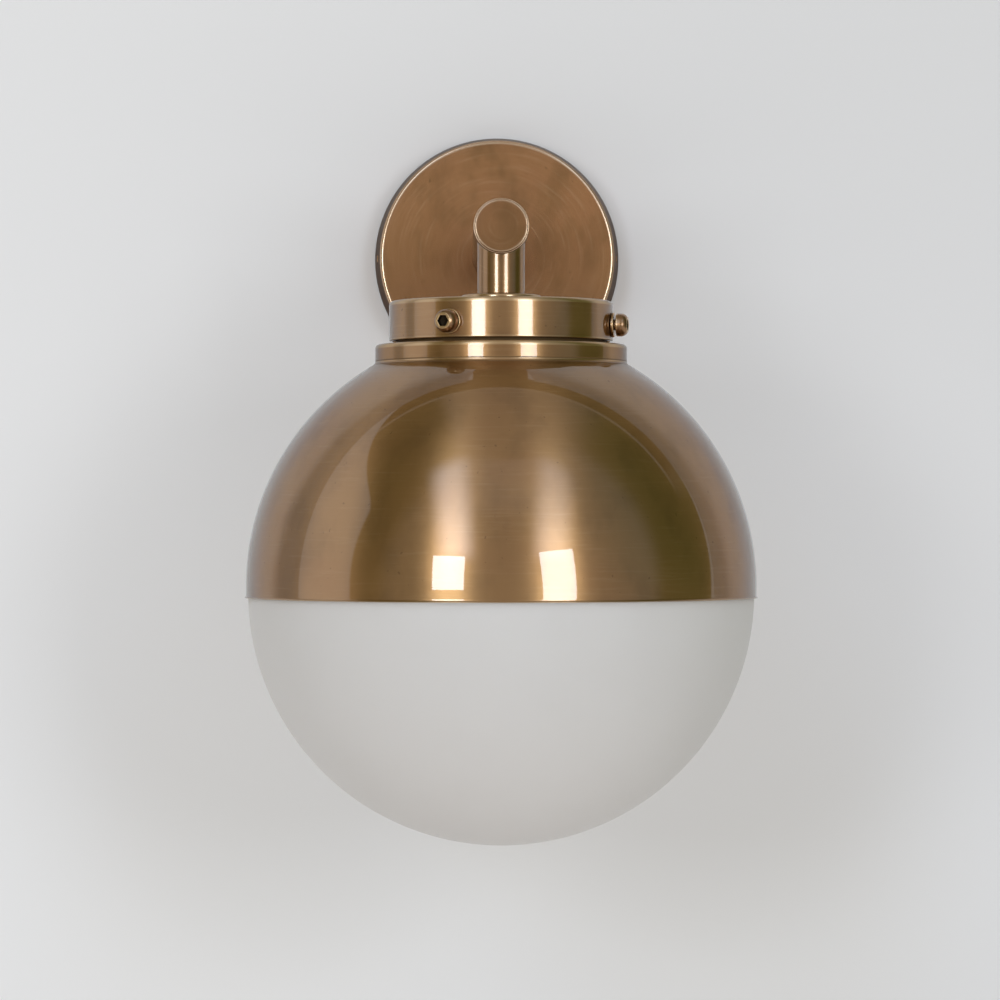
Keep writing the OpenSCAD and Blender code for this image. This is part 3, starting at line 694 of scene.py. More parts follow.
class WallLightSizes(bpy.types.PropertyGroup):
    """Sizes that the frame's boxes don't give."""

    plate_wall: length("Plate wall", "Thickness of the spun backplate", 1.2)
    plate_draft: length("Plate draft", "How far the plate's side draws in from the wall to the shoulder", 2.6)
    plate_shoulder: length("Plate shoulder", "How far the plate's round shoulder reaches", 1.3)
    plate_screw_depth: length("Plate screws", "Distance from the wall to the screws in the plate's side", 11.0)
    plate_hole: length("Plate holes", "Radius of the holes in the plate's side", 2.0)
    tube_wall: length("Tube wall", "Wall of the arm and the stem", 1.2)
    nipple_hole: length("Nipple holes", "Radius of the holes for the threaded tubes", 5.1)
    cap_head: length("End cap head", "Thickness of the end cap's head", 1.3)
    cap_chamfer: length("End cap chamfer", "Reach of the chamfer round the end cap", 0.35)
    gallery_wall: length("Gallery wall", "Thickness of the gallery", 1.4)
    gallery_edge: length("Gallery edge", "Reach of the gallery's round top edge", 1.6)
    clamp_hole: length("Clamp holes", "Radius of the tapped holes in the gallery", 2.35)
    screw_shank: length("Clamp screw shank", "Radius of the clamp screws' shank", 2.25)
    screw_head: length("Clamp screw head", "Radius of the clamp screws' head", 4.6)
    screw_head_height: length("Clamp screw head height", "Height of the clamp screws' head", 4.5)
    screw_socket: length("Clamp screw socket", "Corner radius of the hex socket", 2.4)
    screw_pitch: length("Clamp screw pitch", "Pitch of the clamp screws' thread", 0.8)
    lock_nut: length("Lock nut", "Radius of the lock nuts", 4.95)
    lock_nut_height: length("Lock nut height", "Thickness of the lock nuts", 1.0)
    nut_gap: length("Lock nut gap", "Bare shank between lock nut and head", 0.8)
    dome_wall: length("Dome wall", "Thickness of the dome shade", 0.5)
    dome_gap: length("Dome gap", "Gap between dome and glass", 0.4)
    dome_lift: length("Dome lift", "Height of the dome's centre above the globe's", 2.5)
    flare_height: length("Rim flare", "Height over which the dome flares out to its rim", 0.8)
    flare_blend: length("Rim flare's bend", "Height over which the flare sets in", 0.6)
    collar: length("Dome collar", "Radius of the dome's stepped collar", 50.5)
    collar_wall: length("Dome collar wall", "Thickness of the sheet in the collar", 0.8)
    collar_hole: length("Dome collar hole", "Radius of the dome's hole for the glass neck", 41.5)
    collar_edge: length("Dome collar edge", "Reach of the collar's round top edge", 1.5)
    lip: length("Dome lip", "Height of the lip round the dome's hole", 1.6)
    glass: length("Glass", "Thickness of the glass", 3.0)
    neck: length("Glass neck", "Outer radius of the glass neck", 40.0)
    dent: length("Unevenness", "Depth of the hand-spun dome's slow unevenness", 0.035)


class WallLightFinish(bpy.types.PropertyGroup):
    """Colours and gloss."""

    brass: colour("Brass", "Lacquered brass of the spun pieces", (0.41, 0.226, 0.09))
    brass_red: colour("Reddish brass", "Spun brass where it has aged towards red", (0.38, 0.195, 0.078))
    plate_brass: colour("Plate brass", "Brass of the plate and the arm", (0.43, 0.224, 0.107))
    plate_red: colour("Reddish plate brass", "Plate brass where it has aged towards red", (0.37, 0.178, 0.085))
    # Dark brass also gives the painted shade at the bottom of the plate and arm.
    brass_dark: colour("Dark brass", "Brass in its clouds, specks and inner corners", (0.2, 0.11, 0.045))
    # The bright tones give the brushed streaks and, on outer edges, rubbed wear with a painted highlight.
    brass_bright: colour("Bright brass", "Spun brass rubbed bright on its edges", (0.72, 0.5, 0.27))
    plate_bright: colour("Bright plate brass", "Plate brass rubbed bright on its edges", (0.75, 0.56, 0.40))
    # Grime and painted shade in inner corners and on the dome's lip and bore.
    grime_and_shade: colour("Grime", "Dull brown of the inner corners", (0.13, 0.08, 0.035))
    grazing: share("Grazing reflection", "How much of the brass's reflection is left at a low angle", 0.2)
    glass: colour("Opal glass", "Colour of the opal glass", (0.70, 0.657, 0.62))
    glass_depth: share("Glass depth", "Share of the light that spreads inside the opal glass", 0.55)
    spun_roughness: share("Spun roughness", "Roughness of the spun pieces under their lacquer", 0.33)
    plate_roughness: share("Plate roughness", "Roughness of plate and arm under their lacquer", 0.25)
    anisotropy: share("Brushing", "How far the spun lines spread the light across themselves", 0.86)
    line_depth: share("Line depth", "Depth of the spun lines, as a share of the relief's height", 1.0, 4.0)
    lacquer_ior: share("Lacquer", "Refractive index of the lacquer", 1.7, 3.0)


class WallLightStage(bpy.types.PropertyGroup):
    """Camera and light."""

    camera_x: bpy.props.FloatProperty(name="Camera X", description="The camera's place along X",
                                      default=-0.0156, unit="LENGTH", precision=4)
    camera_z: bpy.props.FloatProperty(name="Camera Z", description="The camera's height",
                                      default=-0.116, unit="LENGTH", precision=4)
    camera_reach: length("Camera distance", "Distance from the stem's axis to the camera", 1662.0)
    lens: bpy.props.FloatProperty(name="Lens", description="Focal length in millimetres", default=149.1)
    shift_x: bpy.props.FloatProperty(name="Shift X", description="The lens's sideways shift", default=0.0378)
    shift_y: bpy.props.FloatProperty(name="Shift Y", description="The lens's upward shift", default=0.017)
    wall_tone: colour("Wall", "Colour of the wall behind the light", (0.925, 0.897, 0.875))
    # The far wall's grey is painted shade for light that falls off.
    far_tone: colour("Far wall", "Colour of the wall farther away", (0.49, 0.492, 0.496))
    soft_light: share("Soft light", "Brightness of the two soft lights, where 1 is white", 9.5, 50.0)
    room: share("Room", "Brightness of the room in front", 0.39, 5.0)
    glow: share("Glow", "Brightness of the two glowing panels above the soft lights", 2.5, 10.0)


# Pieces

def sizes():
    return bpy.context.scene.wall_light_sizes


def build_backplate():
    """The backplate, a shallow bowl with a drawn-in side and a round shoulder, and the ring behind it."""
    s = sizes()
    gasket_width = 4 * MM
    rim, foot, face = plate_high[0], -plate_high[1], -plate_low[1]
    holes = [(angle, s.plate_screw_depth, s.plate_hole) for angle in (0.0, math.pi)]
    reaches = [0.4 * MM, s.plate_shoulder, SOFT, SOFT, 0.8 * MM, 0.4 * MM]
    plate = bowl("backplate_shell", WALL_AXIS, s.plate_wall, rim, rim - s.plate_draft, foot, face,
                 s.nipple_hole, holes, reaches, -math.pi / 2)
    placed(plate, "fixture", "aged_brass", "plate_brass", "backplate")
    low, high = corners("wall_gasket")
    profile = ring_profile(high[0] - gasket_width, high[0], -high[1], -low[1], [0.4 * MM] * 4)
    gasket = lathe("wall_gasket_ring", profile, WALL_AXIS, 192)
    placed(gasket, "fixture", "black_rubber", "black_rubber", "wall_gasket")


def socket_runs(end, mouth, corner, depth):
    """Runs from a screw's end face down its hex socket to the drill point on the axis."""
    bottom = end - depth
    spots = [(mouth, end), (corner, end - 0.2 * MM), (corner, bottom), (0.0, bottom - 0.25 * corner)]
    return through(spots, {2: (0.5,)}, closed=False)


def build_plate_screws():
    """Two grub screws in the plate's side, each a threaded rod with a hex socket."""
    s = sizes()
    low, high = corners("plate_screws")
    reach, radius, start = high[0], (high[2] - low[2]) / 2, 42.4 * MM
    corner, depth, thread_depth, pitch = 1.15 * MM, 1.3 * MM, 0.12 * MM, 0.7 * MM
    mouth = corner + 0.15 * MM
    spots = [(0.0, start), (radius, start), (radius, reach), (mouth, reach)]
    runs = through(spots, {1: np.linspace(0.02, 0.98, 60)}, closed=False)
    runs += socket_runs(reach, mouth, corner, depth)
    points, edge, place = outline(runs, [0.3 * MM, 0.3 * MM, 0.05 * MM, 0.03 * MM, 0.1 * MM], closed=False)
    # Marks the socket dark for painted shade.
    profile = (points, np.where(place > 3, -1.0, edge), place)
    made = [lathe(f"plate_grub_screw_{number}", profile, side_axis(side, s.plate_screw_depth), 48,
                  closed=False, seam=0.0, shape=threaded(3, thread_depth, pitch))
            for number, side in ((1, 1), (2, -1))]
    for screw in made:
        placed(screw, "fixture", "screw_brass", "screw_brass", "plate_screws")


def build_arm():
    """The arm's tube, from the plate's face to the end cap, and the flat end cap with its chamfer."""
    s = sizes()
    radius, back, front = arm_high[0], -arm_high[1], -arm_low[1]
    bore = radius - s.tube_wall
    stops = {1: np.linspace(0.04, 0.96, 24), 3: np.linspace(0.1, 0.9, 6)}
    profile = ring_profile(bore, radius, back, front, [0.1 * MM, 0.3 * MM, 0.2 * MM, 0.1 * MM], stops)
    tube = lathe("arm_shell", profile, WALL_AXIS, 128)
    placed(tube, "fixture", "aged_brass", "plate_brass", "arm_tube")
    low, high = corners("arm_end_cap")
    head, top, foot = high[0], -low[1], -high[1]
    seat, plug = top - s.cap_head, bore - PLUG_GAP
    spots = [(0.0, foot), (plug, foot), (plug, seat), (head, seat), (head, top), (0.0, top)]
    runs = through(spots, {4: np.linspace(0.15, 0.95, 6)}, closed=False)
    profile = outline(runs, [0.3 * MM, 0.05 * MM, 0.15 * MM, s.cap_chamfer], closed=False)
    cap = lathe("arm_end_plug", profile, WALL_AXIS, 128, closed=False)
    placed(cap, "fixture", "aged_brass", "plate_brass", "arm_end_cap")


def build_stem():
    """The stem and its rosette.

    The stem is cut to a saddle under the arm: its top lies at minus the root of R^2 - x^2, R being the arm's.
    """
    s = sizes()
    radius, foot = stem_high[0], stem_low[2]

    def shape(radii, heights, angles, place):
        saddle = -np.sqrt(arm_high[0] ** 2 - (radii * np.cos(angles)) ** 2)
        return radii, foot + (heights - foot) * (saddle - foot) / -foot, angles

    stops = {1: np.linspace(0.06, 0.94, 14), 3: np.linspace(0.1, 0.9, 8)}
    profile = ring_profile(radius - s.tube_wall, radius, foot, 0.0, [0.1 * MM] * 4, stops)
    tube = lathe("stem_shell", profile, STEM_AXIS, 128, shape=shape)
    placed(tube, "fixture", "aged_brass", "spun_brass", "stem_tube")
    low, high = corners("stem_collar")
    rim, base, top, shoulder = high[0], low[2], high[2], low[2] + 2.3 * MM
    inner, crown_bulge = radius + PLUG_GAP, 0.25 * MM
    flat = inner + 0.8 * MM
    runs = through([(inner, base), (rim, base), (rim, shoulder), (flat, top), (inner, top)],
                   {2: np.linspace(0.1, 0.9, 8)})
    runs[2][:, 1] += crown_bulge * np.sin(math.pi * np.linspace(0, 1, len(runs[2])))
    profile = outline(runs, [0.15 * MM, 0.7 * MM, 0.3 * MM, 0.1 * MM, 0.1 * MM])
    rosette = lathe("rosette", profile, STEM_AXIS, 128)
    placed(rosette, "fixture", "aged_brass", "spun_brass", "stem_collar")


def build_gallery():
    """The gallery's cup, bored for three clamp screws, and the rubber ring in it."""
    s = sizes()
    gasket_bore = 36 * MM
    radius, top, bottom = gallery_high[0], gallery_high[2], gallery_low[2]
    directions = [joint_axis(f"clamp_screw_{number}_back_off") for number in (1, 2, 3)]
    holes = [(math.atan2(way[1], way[0]), CLAMP_Z, s.clamp_hole) for way in directions]
    reaches = [0.5 * MM, s.gallery_edge, SOFT, SOFT, 0.8 * MM, 0.4 * MM]
    cup = bowl("gallery_cup", STEM_AXIS, s.gallery_wall, radius, radius, bottom, top, s.nipple_hole, holes,
               reaches)
    placed(cup, "fixture", "aged_brass", "spun_brass", "gallery")
    low, high = corners("gallery_gasket")
    profile = ring_profile(gasket_bore, high[0], low[2], high[2], [0.35 * MM] * 4)
    ring = lathe("gallery_gasket_ring", profile, STEM_AXIS, 128)
    placed(ring, "fixture", "black_rubber", "black_rubber", "gallery_gasket")


def build_clamp_screws():
    """Three clamp screws: a threaded shank, a button head and a hex socket, and their round lock nuts."""
    s = sizes()
    tip = s.neck + SEAT_GAP
    nut_seat = gallery_high[0] + 0.1 * MM
    nut_top = nut_seat + s.lock_nut_height
    head_seat = nut_top + s.nut_gap
    end, shank, head, corner = head_seat + s.screw_head_height, s.screw_shank, s.screw_head, s.screw_socket
    mouth, round_r, depth, thread_depth = corner + 0.35 * MM, 3.2 * MM, 2.1 * MM, 0.22 * MM
    crown = end - round_r * math.sin(math.radians(60))
    side = line((head, head_seat), (head, crown))
    spots = [(0.0, tip), (shank, tip), (shank, head_seat), (head, head_seat)]
    runs = through(spots, {1: np.linspace(0.02, 0.98, 56)}, closed=False)
    runs += [
        np.concatenate([side, arc((head - round_r, crown), round_r, 0, 60, 14)[1:]]),
        line((head - round_r / 2, end), (mouth, end)),
        *socket_runs(end, mouth, corner, depth),
    ]
    reaches = [0.35 * MM, 0.02 * MM, 0.35 * MM, 0.1 * MM, 0.05 * MM, 0.04 * MM, 0.2 * MM]
    points, edge, place = outline(runs, reaches, closed=False)
    # Marks the socket dark for painted shade, and the socket's rim bright for wear and a painted highlight.
    profile = (points, np.where(place > 5.5, -1.0, np.where(place > 4, 1.0, edge)), place)
    nut_reaches = [0.15 * MM, 0.35 * MM, 0.15 * MM, 0.1 * MM]
    nut_profile = ring_profile(shank + 0.1 * MM, s.lock_nut, nut_seat, nut_top, nut_reaches)
    for number in (1, 2, 3):
        screw = lathe(f"clamp_screw_{number}_turned", profile, clamp_axis(number), 96, closed=False, seam=0.0,
                      shape=threaded(4, thread_depth, s.screw_pitch))
        placed(screw, f"clamp_screw_{number}", "screw_brass", "screw_brass", f"clamp_screw_{number}")
        nut = lathe(f"lock_nut_{number}_turned", nut_profile, clamp_axis(number), 96)
        placed(nut, f"lock_nut_{number}", "screw_brass", "screw_brass", f"lock_nut_{number}")


def unevenness(angles, heights, depth):
    """Slow waves of a hand-spun sheet: sines round the axis and along it, with seeded phases."""
    chance = np.random.default_rng(11)
    total = np.zeros_like(angles)
    for order in (2, 3, 5, 7, 11, 16):
        phase = chance.uniform(0, 2 * math.pi)
        climb, size = chance.uniform(-60, 60), chance.uniform(0.5, 1.0)
        total += size / order**0.6 * np.sin(order * angles + climb * heights + phase)
    return depth * total / 2


def build_dome():
    """The half dome: flared rim, upright band, sphere, stepped collar with a lip, and the same again inside.

    At a depth t below the flare's start the radius grows by slope * t^2 / (2 * bend), and by
    slope * (t - bend / 2) once t is past the bend.
    """
    s = sizes()
    centre = GLOBE_Z + s.dome_lift
    rim, top, rim_radius = dome_low[2], dome_high[2], dome_high[0]
    inside = GLOBE_R + s.dome_gap
    outside = inside + s.dome_wall
    inner_collar, under = s.collar - s.collar_wall, top - s.collar_wall
    lip_radius, lip_top = s.collar_hole + 0.5 * MM, top + s.lip
    start = rim + s.flare_height
    slope = (rim_radius - outside) / (s.flare_height - s.flare_blend / 2)
    foot_angle = math.degrees(math.acos(s.collar / outside))
    inner_foot_angle = math.degrees(math.acos(inner_collar / inside))
    inner_rim_angle = math.degrees(math.asin((rim - centre) / inside))
    foot = centre + outside * math.sin(math.radians(foot_angle))
    inner_foot = centre + inside * math.sin(math.radians(inner_foot_angle))
    inner_rim = inside * math.cos(math.radians(inner_rim_angle))
    height = np.concatenate([np.linspace(rim, start, 14)[:-1], np.linspace(start, centre, 10)])
    depth = np.maximum(start - height, 0.0)
    flare = slope * np.where(depth < s.flare_blend, depth**2 / (2 * s.flare_blend), depth - s.flare_blend / 2)
    flared = np.column_stack([outside + flare, height])
    runs = [
        line((inner_rim, rim), (rim_radius, rim)),
        np.concatenate([flared, arc((0.0, centre), outside, 0.0, foot_angle, 72)[1:]]),
        *through([(s.collar, foot), (s.collar, top), (lip_radius, top), (lip_radius, lip_top),
                  (s.collar_hole, lip_top), (s.collar_hole, under), (inner_collar, under),
                  (inner_collar, inner_foot)], closed=False),
        arc((0.0, centre), inside, inner_foot_angle, inner_rim_angle, 48),
    ]
    reaches = [0.25 * MM, 0.9 * MM, s.collar_edge, SOFT, SOFT, SOFT, SOFT, 0.5 * MM, 0.3 * MM, 0.15 * MM]
    points, edge, place = outline(runs, reaches)
    # Painted reflection in the concave fillet at the collar's foot: its upper half lighter, its lower half a
    # little darker.
    edge = np.where((place > 1.0) & (place < 2.0), np.where(place > 1.5, 0.7, -0.3), edge)
    # Painted shade: the lip and the bore, in the groove under the gallery, are marked as inner corners and so
    # darkened.
    edge = np.where((place > 3.3) & (place <= 6), -1.0, edge)

    def shape(radii, heights, angles, place):
        below_collar = np.clip((top - 6 * MM - heights) / (20 * MM), 0, 1)
        above_rim = np.clip((heights - rim) / (12 * MM), 0, 1)
        return radii + below_collar * above_rim * unevenness(angles, heights, s.dent), heights, angles

    dome = lathe("dome", (points, edge, place), STEM_AXIS, 256, shape=shape)
    placed(dome, "shade", "aged_brass", "dome_brass", "dome_shade")


def build_globe():
    """The glass globe, sphere and straight neck joined by a round lip, and the ring that carries the dome."""
    s = sizes()
    top, inside, bore = corners("globe_neck")[1][2], GLOBE_R - s.glass, s.neck - s.glass
    shoulder = math.degrees(math.acos(s.neck / GLOBE_R))
    inner_shoulder = math.degrees(math.acos(bore / inside))
    foot = GLOBE_Z + GLOBE_R * math.sin(math.radians(shoulder))
    inner_foot = GLOBE_Z + inside * math.sin(math.radians(inner_shoulder))
    outer = arc((0.0, GLOBE_Z), GLOBE_R, -90, shoulder, 110)
    inner = arc((0.0, GLOBE_Z), inside, inner_shoulder, -90, 80)
    outer[0, 0] = inner[-1, 0] = 0.0
    neck = through([(s.neck, foot), (s.neck, top), (bore, top), (bore, inner_foot)], closed=False)
    runs = [outer, *neck, inner]
    profile = outline(runs, [0.9 * MM, 1.2 * MM, 1.2 * MM, 3 * MM], closed=False)
    glass = lathe("globe_glass", profile, STEM_AXIS, 256, closed=False)
    placed(glass, "shade", "opal_glass", "opal_glass", *GLOBE_NODES)
    high = corners("shade_ring")[1]
    inner_r, outer_r, clear = s.neck + 0.6 * MM, high[0], GLOBE_R + SEAT_GAP
    first = math.degrees(math.acos(inner_r / clear))
    last = math.degrees(math.acos(outer_r / clear))
    seat = arc((0.0, GLOBE_Z), clear, first, last, 8)
    runs = [seat, *through([seat[-1], (outer_r, high[2]), (inner_r, high[2]), seat[0]], closed=False)]
    ring = lathe("shade_cushion_ring", outline(runs, [0.3 * MM, 0.5 * MM, 0.5 * MM, 0.3 * MM]), STEM_AXIS, 128)
    placed(ring, "shade", "clear_silicone", "clear_silicone", "shade_ring")


def build_lampholder():
    """The lampholder's two shells, the lower one with grip flutes: r less a depth times a raised cosine."""
    wall, disc_thickness, hole = 2 * MM, 4 * MM, 5.05 * MM
    flute_depth, flute_count = 0.55 * MM, 30
    low, high = corners("lampholder_cap")
    radius, bore, under = high[0], high[0] - wall, high[2] - wall
    spots = [(bore, low[2]), (radius, low[2]), (radius, high[2]), (hole, high[2]), (hole, under),
             (bore, under)]
    profile = outline(through(spots), [0.3 * MM, 3 * MM, 0.3 * MM, 0.2 * MM, 1 * MM, 0.2 * MM])
    cap = lathe("lampholder_top_shell", profile, STEM_AXIS, 128)
    placed(cap, "fixture", "white_holder", "white_holder", "lampholder_cap")
    low, high = corners("lampholder_body")
    radius, bore, disc = high[0], high[0] - wall, high[2] - disc_thickness
    spots = [(0.0, disc), (bore, disc), (bore, low[2]), (radius, low[2]), (radius, high[2]), (0.0, high[2])]
    outer_run = 3

    def shape(radii, heights, angles, place):
        up = (heights - low[2]) / (high[2] - low[2])
        zone = np.clip((up - 0.14) / 0.05, 0, 1) * np.clip((0.8 - up) / 0.05, 0, 1)
        flutes = flute_depth * zone * (0.5 - 0.5 * np.cos(flute_count * angles))
        return np.where(place == outer_run, radii - flutes, radii), heights, angles

    runs = through(spots, {outer_run: np.linspace(0.05, 0.95, 40)}, closed=False)
    profile = outline(runs, [0.5 * MM, 0.4 * MM, 0.6 * MM, 1.2 * MM], closed=False)
    body = lathe("lampholder_lower_shell", profile, STEM_AXIS, 240, closed=False, shape=shape)
    placed(body, "fixture", "white_holder", "white_holder", "lampholder_body")


def build_lamp():
    """The lamp: a glass envelope of sphere and waist, and a screw cap whose radius follows a helix."""
    low, high = corners("lamp_envelope")
    radius, neck, lean = high[0], 12.2 * MM, 40.0
    centre = low[2] + radius
    way = np.array([math.cos(math.radians(lean)), math.sin(math.radians(lean))])
    start = np.array([radius * way[0], centre + radius * way[1]])
    slope = np.array([-way[1], way[0]]) * 22 * MM
    end, rise = np.array([neck, high[2]]), np.array([0.0, 16 * MM])
    t = np.linspace(0, 1, 60)[:, None]
    waist = (1 - t) ** 3 * start + 3 * (1 - t) ** 2 * t * (start + slope) \
        + 3 * (1 - t) * t**2 * (end - rise) + t**3 * end
    ball = arc((0.0, centre), radius, -90, lean, 60)
    ball[0, 0] = 0.0
    runs = [np.concatenate([ball[:-1], waist]), line((neck, high[2]), (0.0, high[2]), (0.5,))]
    bulb = lathe("lamp_glass", outline(runs, [0.4 * MM], closed=False), STEM_AXIS, 160, closed=False)
    placed(bulb, "lamp", "frosted_glass", "frosted_glass", "lamp_envelope")
    low, high = corners("lamp_cap")
    crest, thread_depth, pitch, foot, top = 13.2 * MM, 0.8 * MM, 3.6 * MM, low[2], high[2]
    bore, inside, plateau = crest - 1.3 * MM, top - 1 * MM, 6 * MM
    thread_run = 3
    spots = [(0.0, inside), (bore, inside), (bore, foot), (crest, foot), (crest, top), (plateau, top),
             (0.0, top)]

    def shape(radii, heights, angles, place):
        turns = heights / pitch - angles / (2 * math.pi)
        zone = np.clip((heights - foot - 2 * MM) / (1.5 * MM), 0, 1)
        groove = thread_depth * (1 - zone * (0.5 + 0.5 * np.cos(2 * math.pi * turns)))
        on_thread = (place >= thread_run) & (place < thread_run + 1)
        return np.where(on_thread, radii - groove, radii), heights, angles

    runs = through(spots, {thread_run: np.linspace(0.01, 0.99, 90), 5: (0.5,)}, closed=False)
    profile = outline(runs, [0.2 * MM, 0.1 * MM, 0.1 * MM, 0.9 * MM, 0.3 * MM], closed=False)
    cap = lathe("lamp_screw_cap", profile, STEM_AXIS, 128, closed=False, shape=shape)
    placed(cap, "lamp", "nickel", "nickel", "lamp_cap")


# Finish of the frame's own nodes that keep their shape.
NODE_FINISH = {
    "zinc_steel": ("mounting_bracket", "arm_washer", "earth_washer"),
    "plain_brass": ("arm_bush", "arm_nipple", "arm_locknut", "stem_bush", "stem_nipple", "stem_locknut",
                    "contact_shell", "centre_contact", "holder_terminals", "terminal_screws", "earth_screw",
                    "earth_lug"),
    "black_rubber": ("lamp_contact",),
    "ivory_plastic": ("terminal_block",),
    "brown_wire": ("live_wire",),
    "blue_wire": ("neutral_wire",),
    "green_wire": ("earth_wire",),
}


def finish_fittings():
    """Gives the frame's own nodes that stay their materials."""
    for name, nodes in NODE_FINISH.items():
        for node in nodes:
            mesh = frame["nodes"][node].data
            mesh.materials.clear()
            mesh.materials.append(material(name))


# Stage

def build_wall():
    """A wall with a round opening behind the plate: rays from the opening's edge out to an ellipse.

    The ellipse reaches farther to the left, and a notch is cut in its top. Along a ray the rows lie at the
    square of their share.
    """
    right, left, upward, opening, notch = 0.86, 1.3, 0.86, 0.0495, 0.5
    angles = np.linspace(-math.pi, math.pi, 128, endpoint=False)
    way = np.stack([np.cos(angles), np.sin(angles)], axis=1)
    reach = 1 / np.hypot(way[:, 0] / np.where(way[:, 0] > 0, right, left), way[:, 1] / upward)
    reach = np.where(np.abs(angles - math.pi / 2) < math.radians(9), notch, reach)
    shares = np.linspace(0, 1, 12)[:, None]
    distance = opening + shares**2 * (reach - opening)
    positions = np.stack([distance * way[:, 0], np.zeros_like(distance), distance * way[:, 1]], axis=2)
    index = np.arange(positions.shape[0] * positions.shape[1]).reshape(positions.shape[:2])
    inner, outer = index[:-1], index[1:]
    faces = np.stack([inner, outer, np.roll(outer, -1, 1), np.roll(inner, -1, 1)], axis=2).reshape(-1, 4)
    return mesh_piece("stage_wall", positions.reshape(-1, 3), faces.tolist(), {})


def wall_paint(recipe, near, far):
    """Matt paint, pale behind the light, a little darker to the right and greyer farther out as painted shade,
    and nothing seen from behind.
    """
    place = recipe.place()
    distance = recipe.node("ShaderNodeVectorMath", {"operation": "LENGTH"}, {0: place}, 1)
    # Painted shade: the wall a little darker towards the right.
    shaded_right = rgb(*[0.9 * part for part in near])
    # Painted shade: the wall greyer farther from the light.
    tone = recipe.mix(recipe.mix(rgb(*near), shaded_right, place.part(0).above(-0.35, 0.35)), rgb(*far),
                      distance.above(0.42, 0.62))
    paint = recipe.node("ShaderNodeBsdfDiffuse", {}, {"Color": tone, "Roughness": 0.5})
    clear = recipe.node("ShaderNodeBsdfTransparent")
    behind = recipe.node("ShaderNodeNewGeometry", result=6)
    shown = recipe.node("ShaderNodeMixShader", {}, {0: behind, 1: paint, 2: clear})
    recipe.node_output("ShaderNodeOutputMaterial", shown)


def bump_at(x, middle, half_width):
    """1 in the middle of a band of directions and 0 from half_width on, with a smooth slope between."""
    return (half_width - abs(x - middle)).above(0.0, 0.85 * half_width)


def light_room(stage):
    """The room round the wall, by direction: a pale floor, a brown front with glowing panels above the soft
    lights, darker sides, a dark band at the ceiling's end and a pale rear."""
    world = bpy.data.worlds.new("room")
    world.use_nodes = True
    bpy.context.scene.world = world
    recipe = Recipe(world.node_tree)
    way = recipe.node("ShaderNodeTexCoord", result=0)
    x, y, z = way.part(0), way.part(1), way.part(2)
    colour = recipe.mix(rgb(stage.room, 0.95 * stage.room, 0.82 * stage.room), rgb(0.36, 0.34, 0.26),
                        (0.0 - x).above(0.1, 0.5))
    colour = recipe.mix(colour, rgb(0.41, 0.38, 0.32), z.above(0.8, 0.95))
    between = bump_at(x, 0.02, 0.6) * z.above(0.45, 0.65)
    between = between * (0.85 - z).above(-0.02, 0.02) * (0.0 - y).above(0.0, 0.1)
    colour = recipe.mix(colour, rgb(0.57, 0.56, 0.54), between)
    colour = recipe.mix(colour, rgb(0.2, 0.18, 0.09), (0.0 - x).above(0.25, 0.35) * y.above(-0.66, -0.5))
    for middle, level in ((-0.348, stage.glow), (0.365, 0.64 * stage.glow)):
        low, high = (rgb(*[tone * part * level for tone in (0.9, 1.08, 1.36)]) for part in (1.1, 0.75))
        lit = recipe.mix(low, high, z.above(0.3, 0.8))
        column = bump_at(x, middle, 0.18) * z.above(0.15, 0.3) * (0.875 - z).above(-0.045, 0.045)
        colour = recipe.mix(colour, lit, column * (0.0 - y).above(0.4, 0.55))
    colour = recipe.mix(colour, rgb(0.27, 0.3, 0.28), x.above(0.3, 0.6) * y.above(-0.8, -0.4))
    colour = recipe.mix(colour, rgb(0.12, 0.14, 0.05), x.above(0.3, 0.6) * y.above(-0.38, -0.2))
    ceiling = z.above(0.4, 0.6)
    colour = recipe.mix(colour, rgb(0.52, 0.46, 0.36), ceiling * y.above(0.15, 0.165))
    colour = recipe.mix(colour, rgb(0.16, 0.13, 0.07), ceiling * y.above(0.175, 0.19))
    block = (0.12 - abs(x)).above(-0.01, 0.01) * ceiling * 0.15
    edge = block + 0.3 - (0.0 - x).above(0.1, 0.25) * (1.0 - z.above(0.45, 0.9)) * 0.62
    rear = recipe.mix(rgb(0.66, 0.67, 0.67), rgb(0.8, 0.82, 0.84), (0.0 - x).above(0.0, 0.3))
    colour = recipe.mix(colour, rear, (y - edge).above(-0.012, 0.012))
    colour = recipe.mix(colour, rgb(0.76, 0.755, 0.75), (0.0 - z).above(0.27, 0.36))
    light = recipe.node("ShaderNodeBackground", {}, {0: colour, 1: 1.0})
    recipe.node_output("ShaderNodeOutputWorld", light)


def soft_box(name, azimuth, elevation, distance, width, height, roll, brightness, target):
    """A rectangular area light that faces the target, rolled about that line.

    Its power is brightness * pi * area.
    """
    data = bpy.data.lights.new(name, "AREA")
    data.shape, data.size, data.size_y = "RECTANGLE", width, height
    data.energy = brightness * math.pi * width * height
    data.color = (0.92, 1.0, 1.1)
    lamp = bpy.data.objects.new(name, data)
    bpy.context.scene.collection.objects.link(lamp)
    a, e = math.radians(azimuth), math.radians(elevation)
    way = Vector((math.sin(a) * math.cos(e), -math.cos(a) * math.cos(e), math.sin(e)))
    lamp.location = target + way * distance
    turned = way.to_track_quat("Z", "Y") @ Quaternion((0.0, 0.0, 1.0), math.radians(roll))
    lamp.rotation_euler = turned.to_euler()
    lamp.visible_camera = False


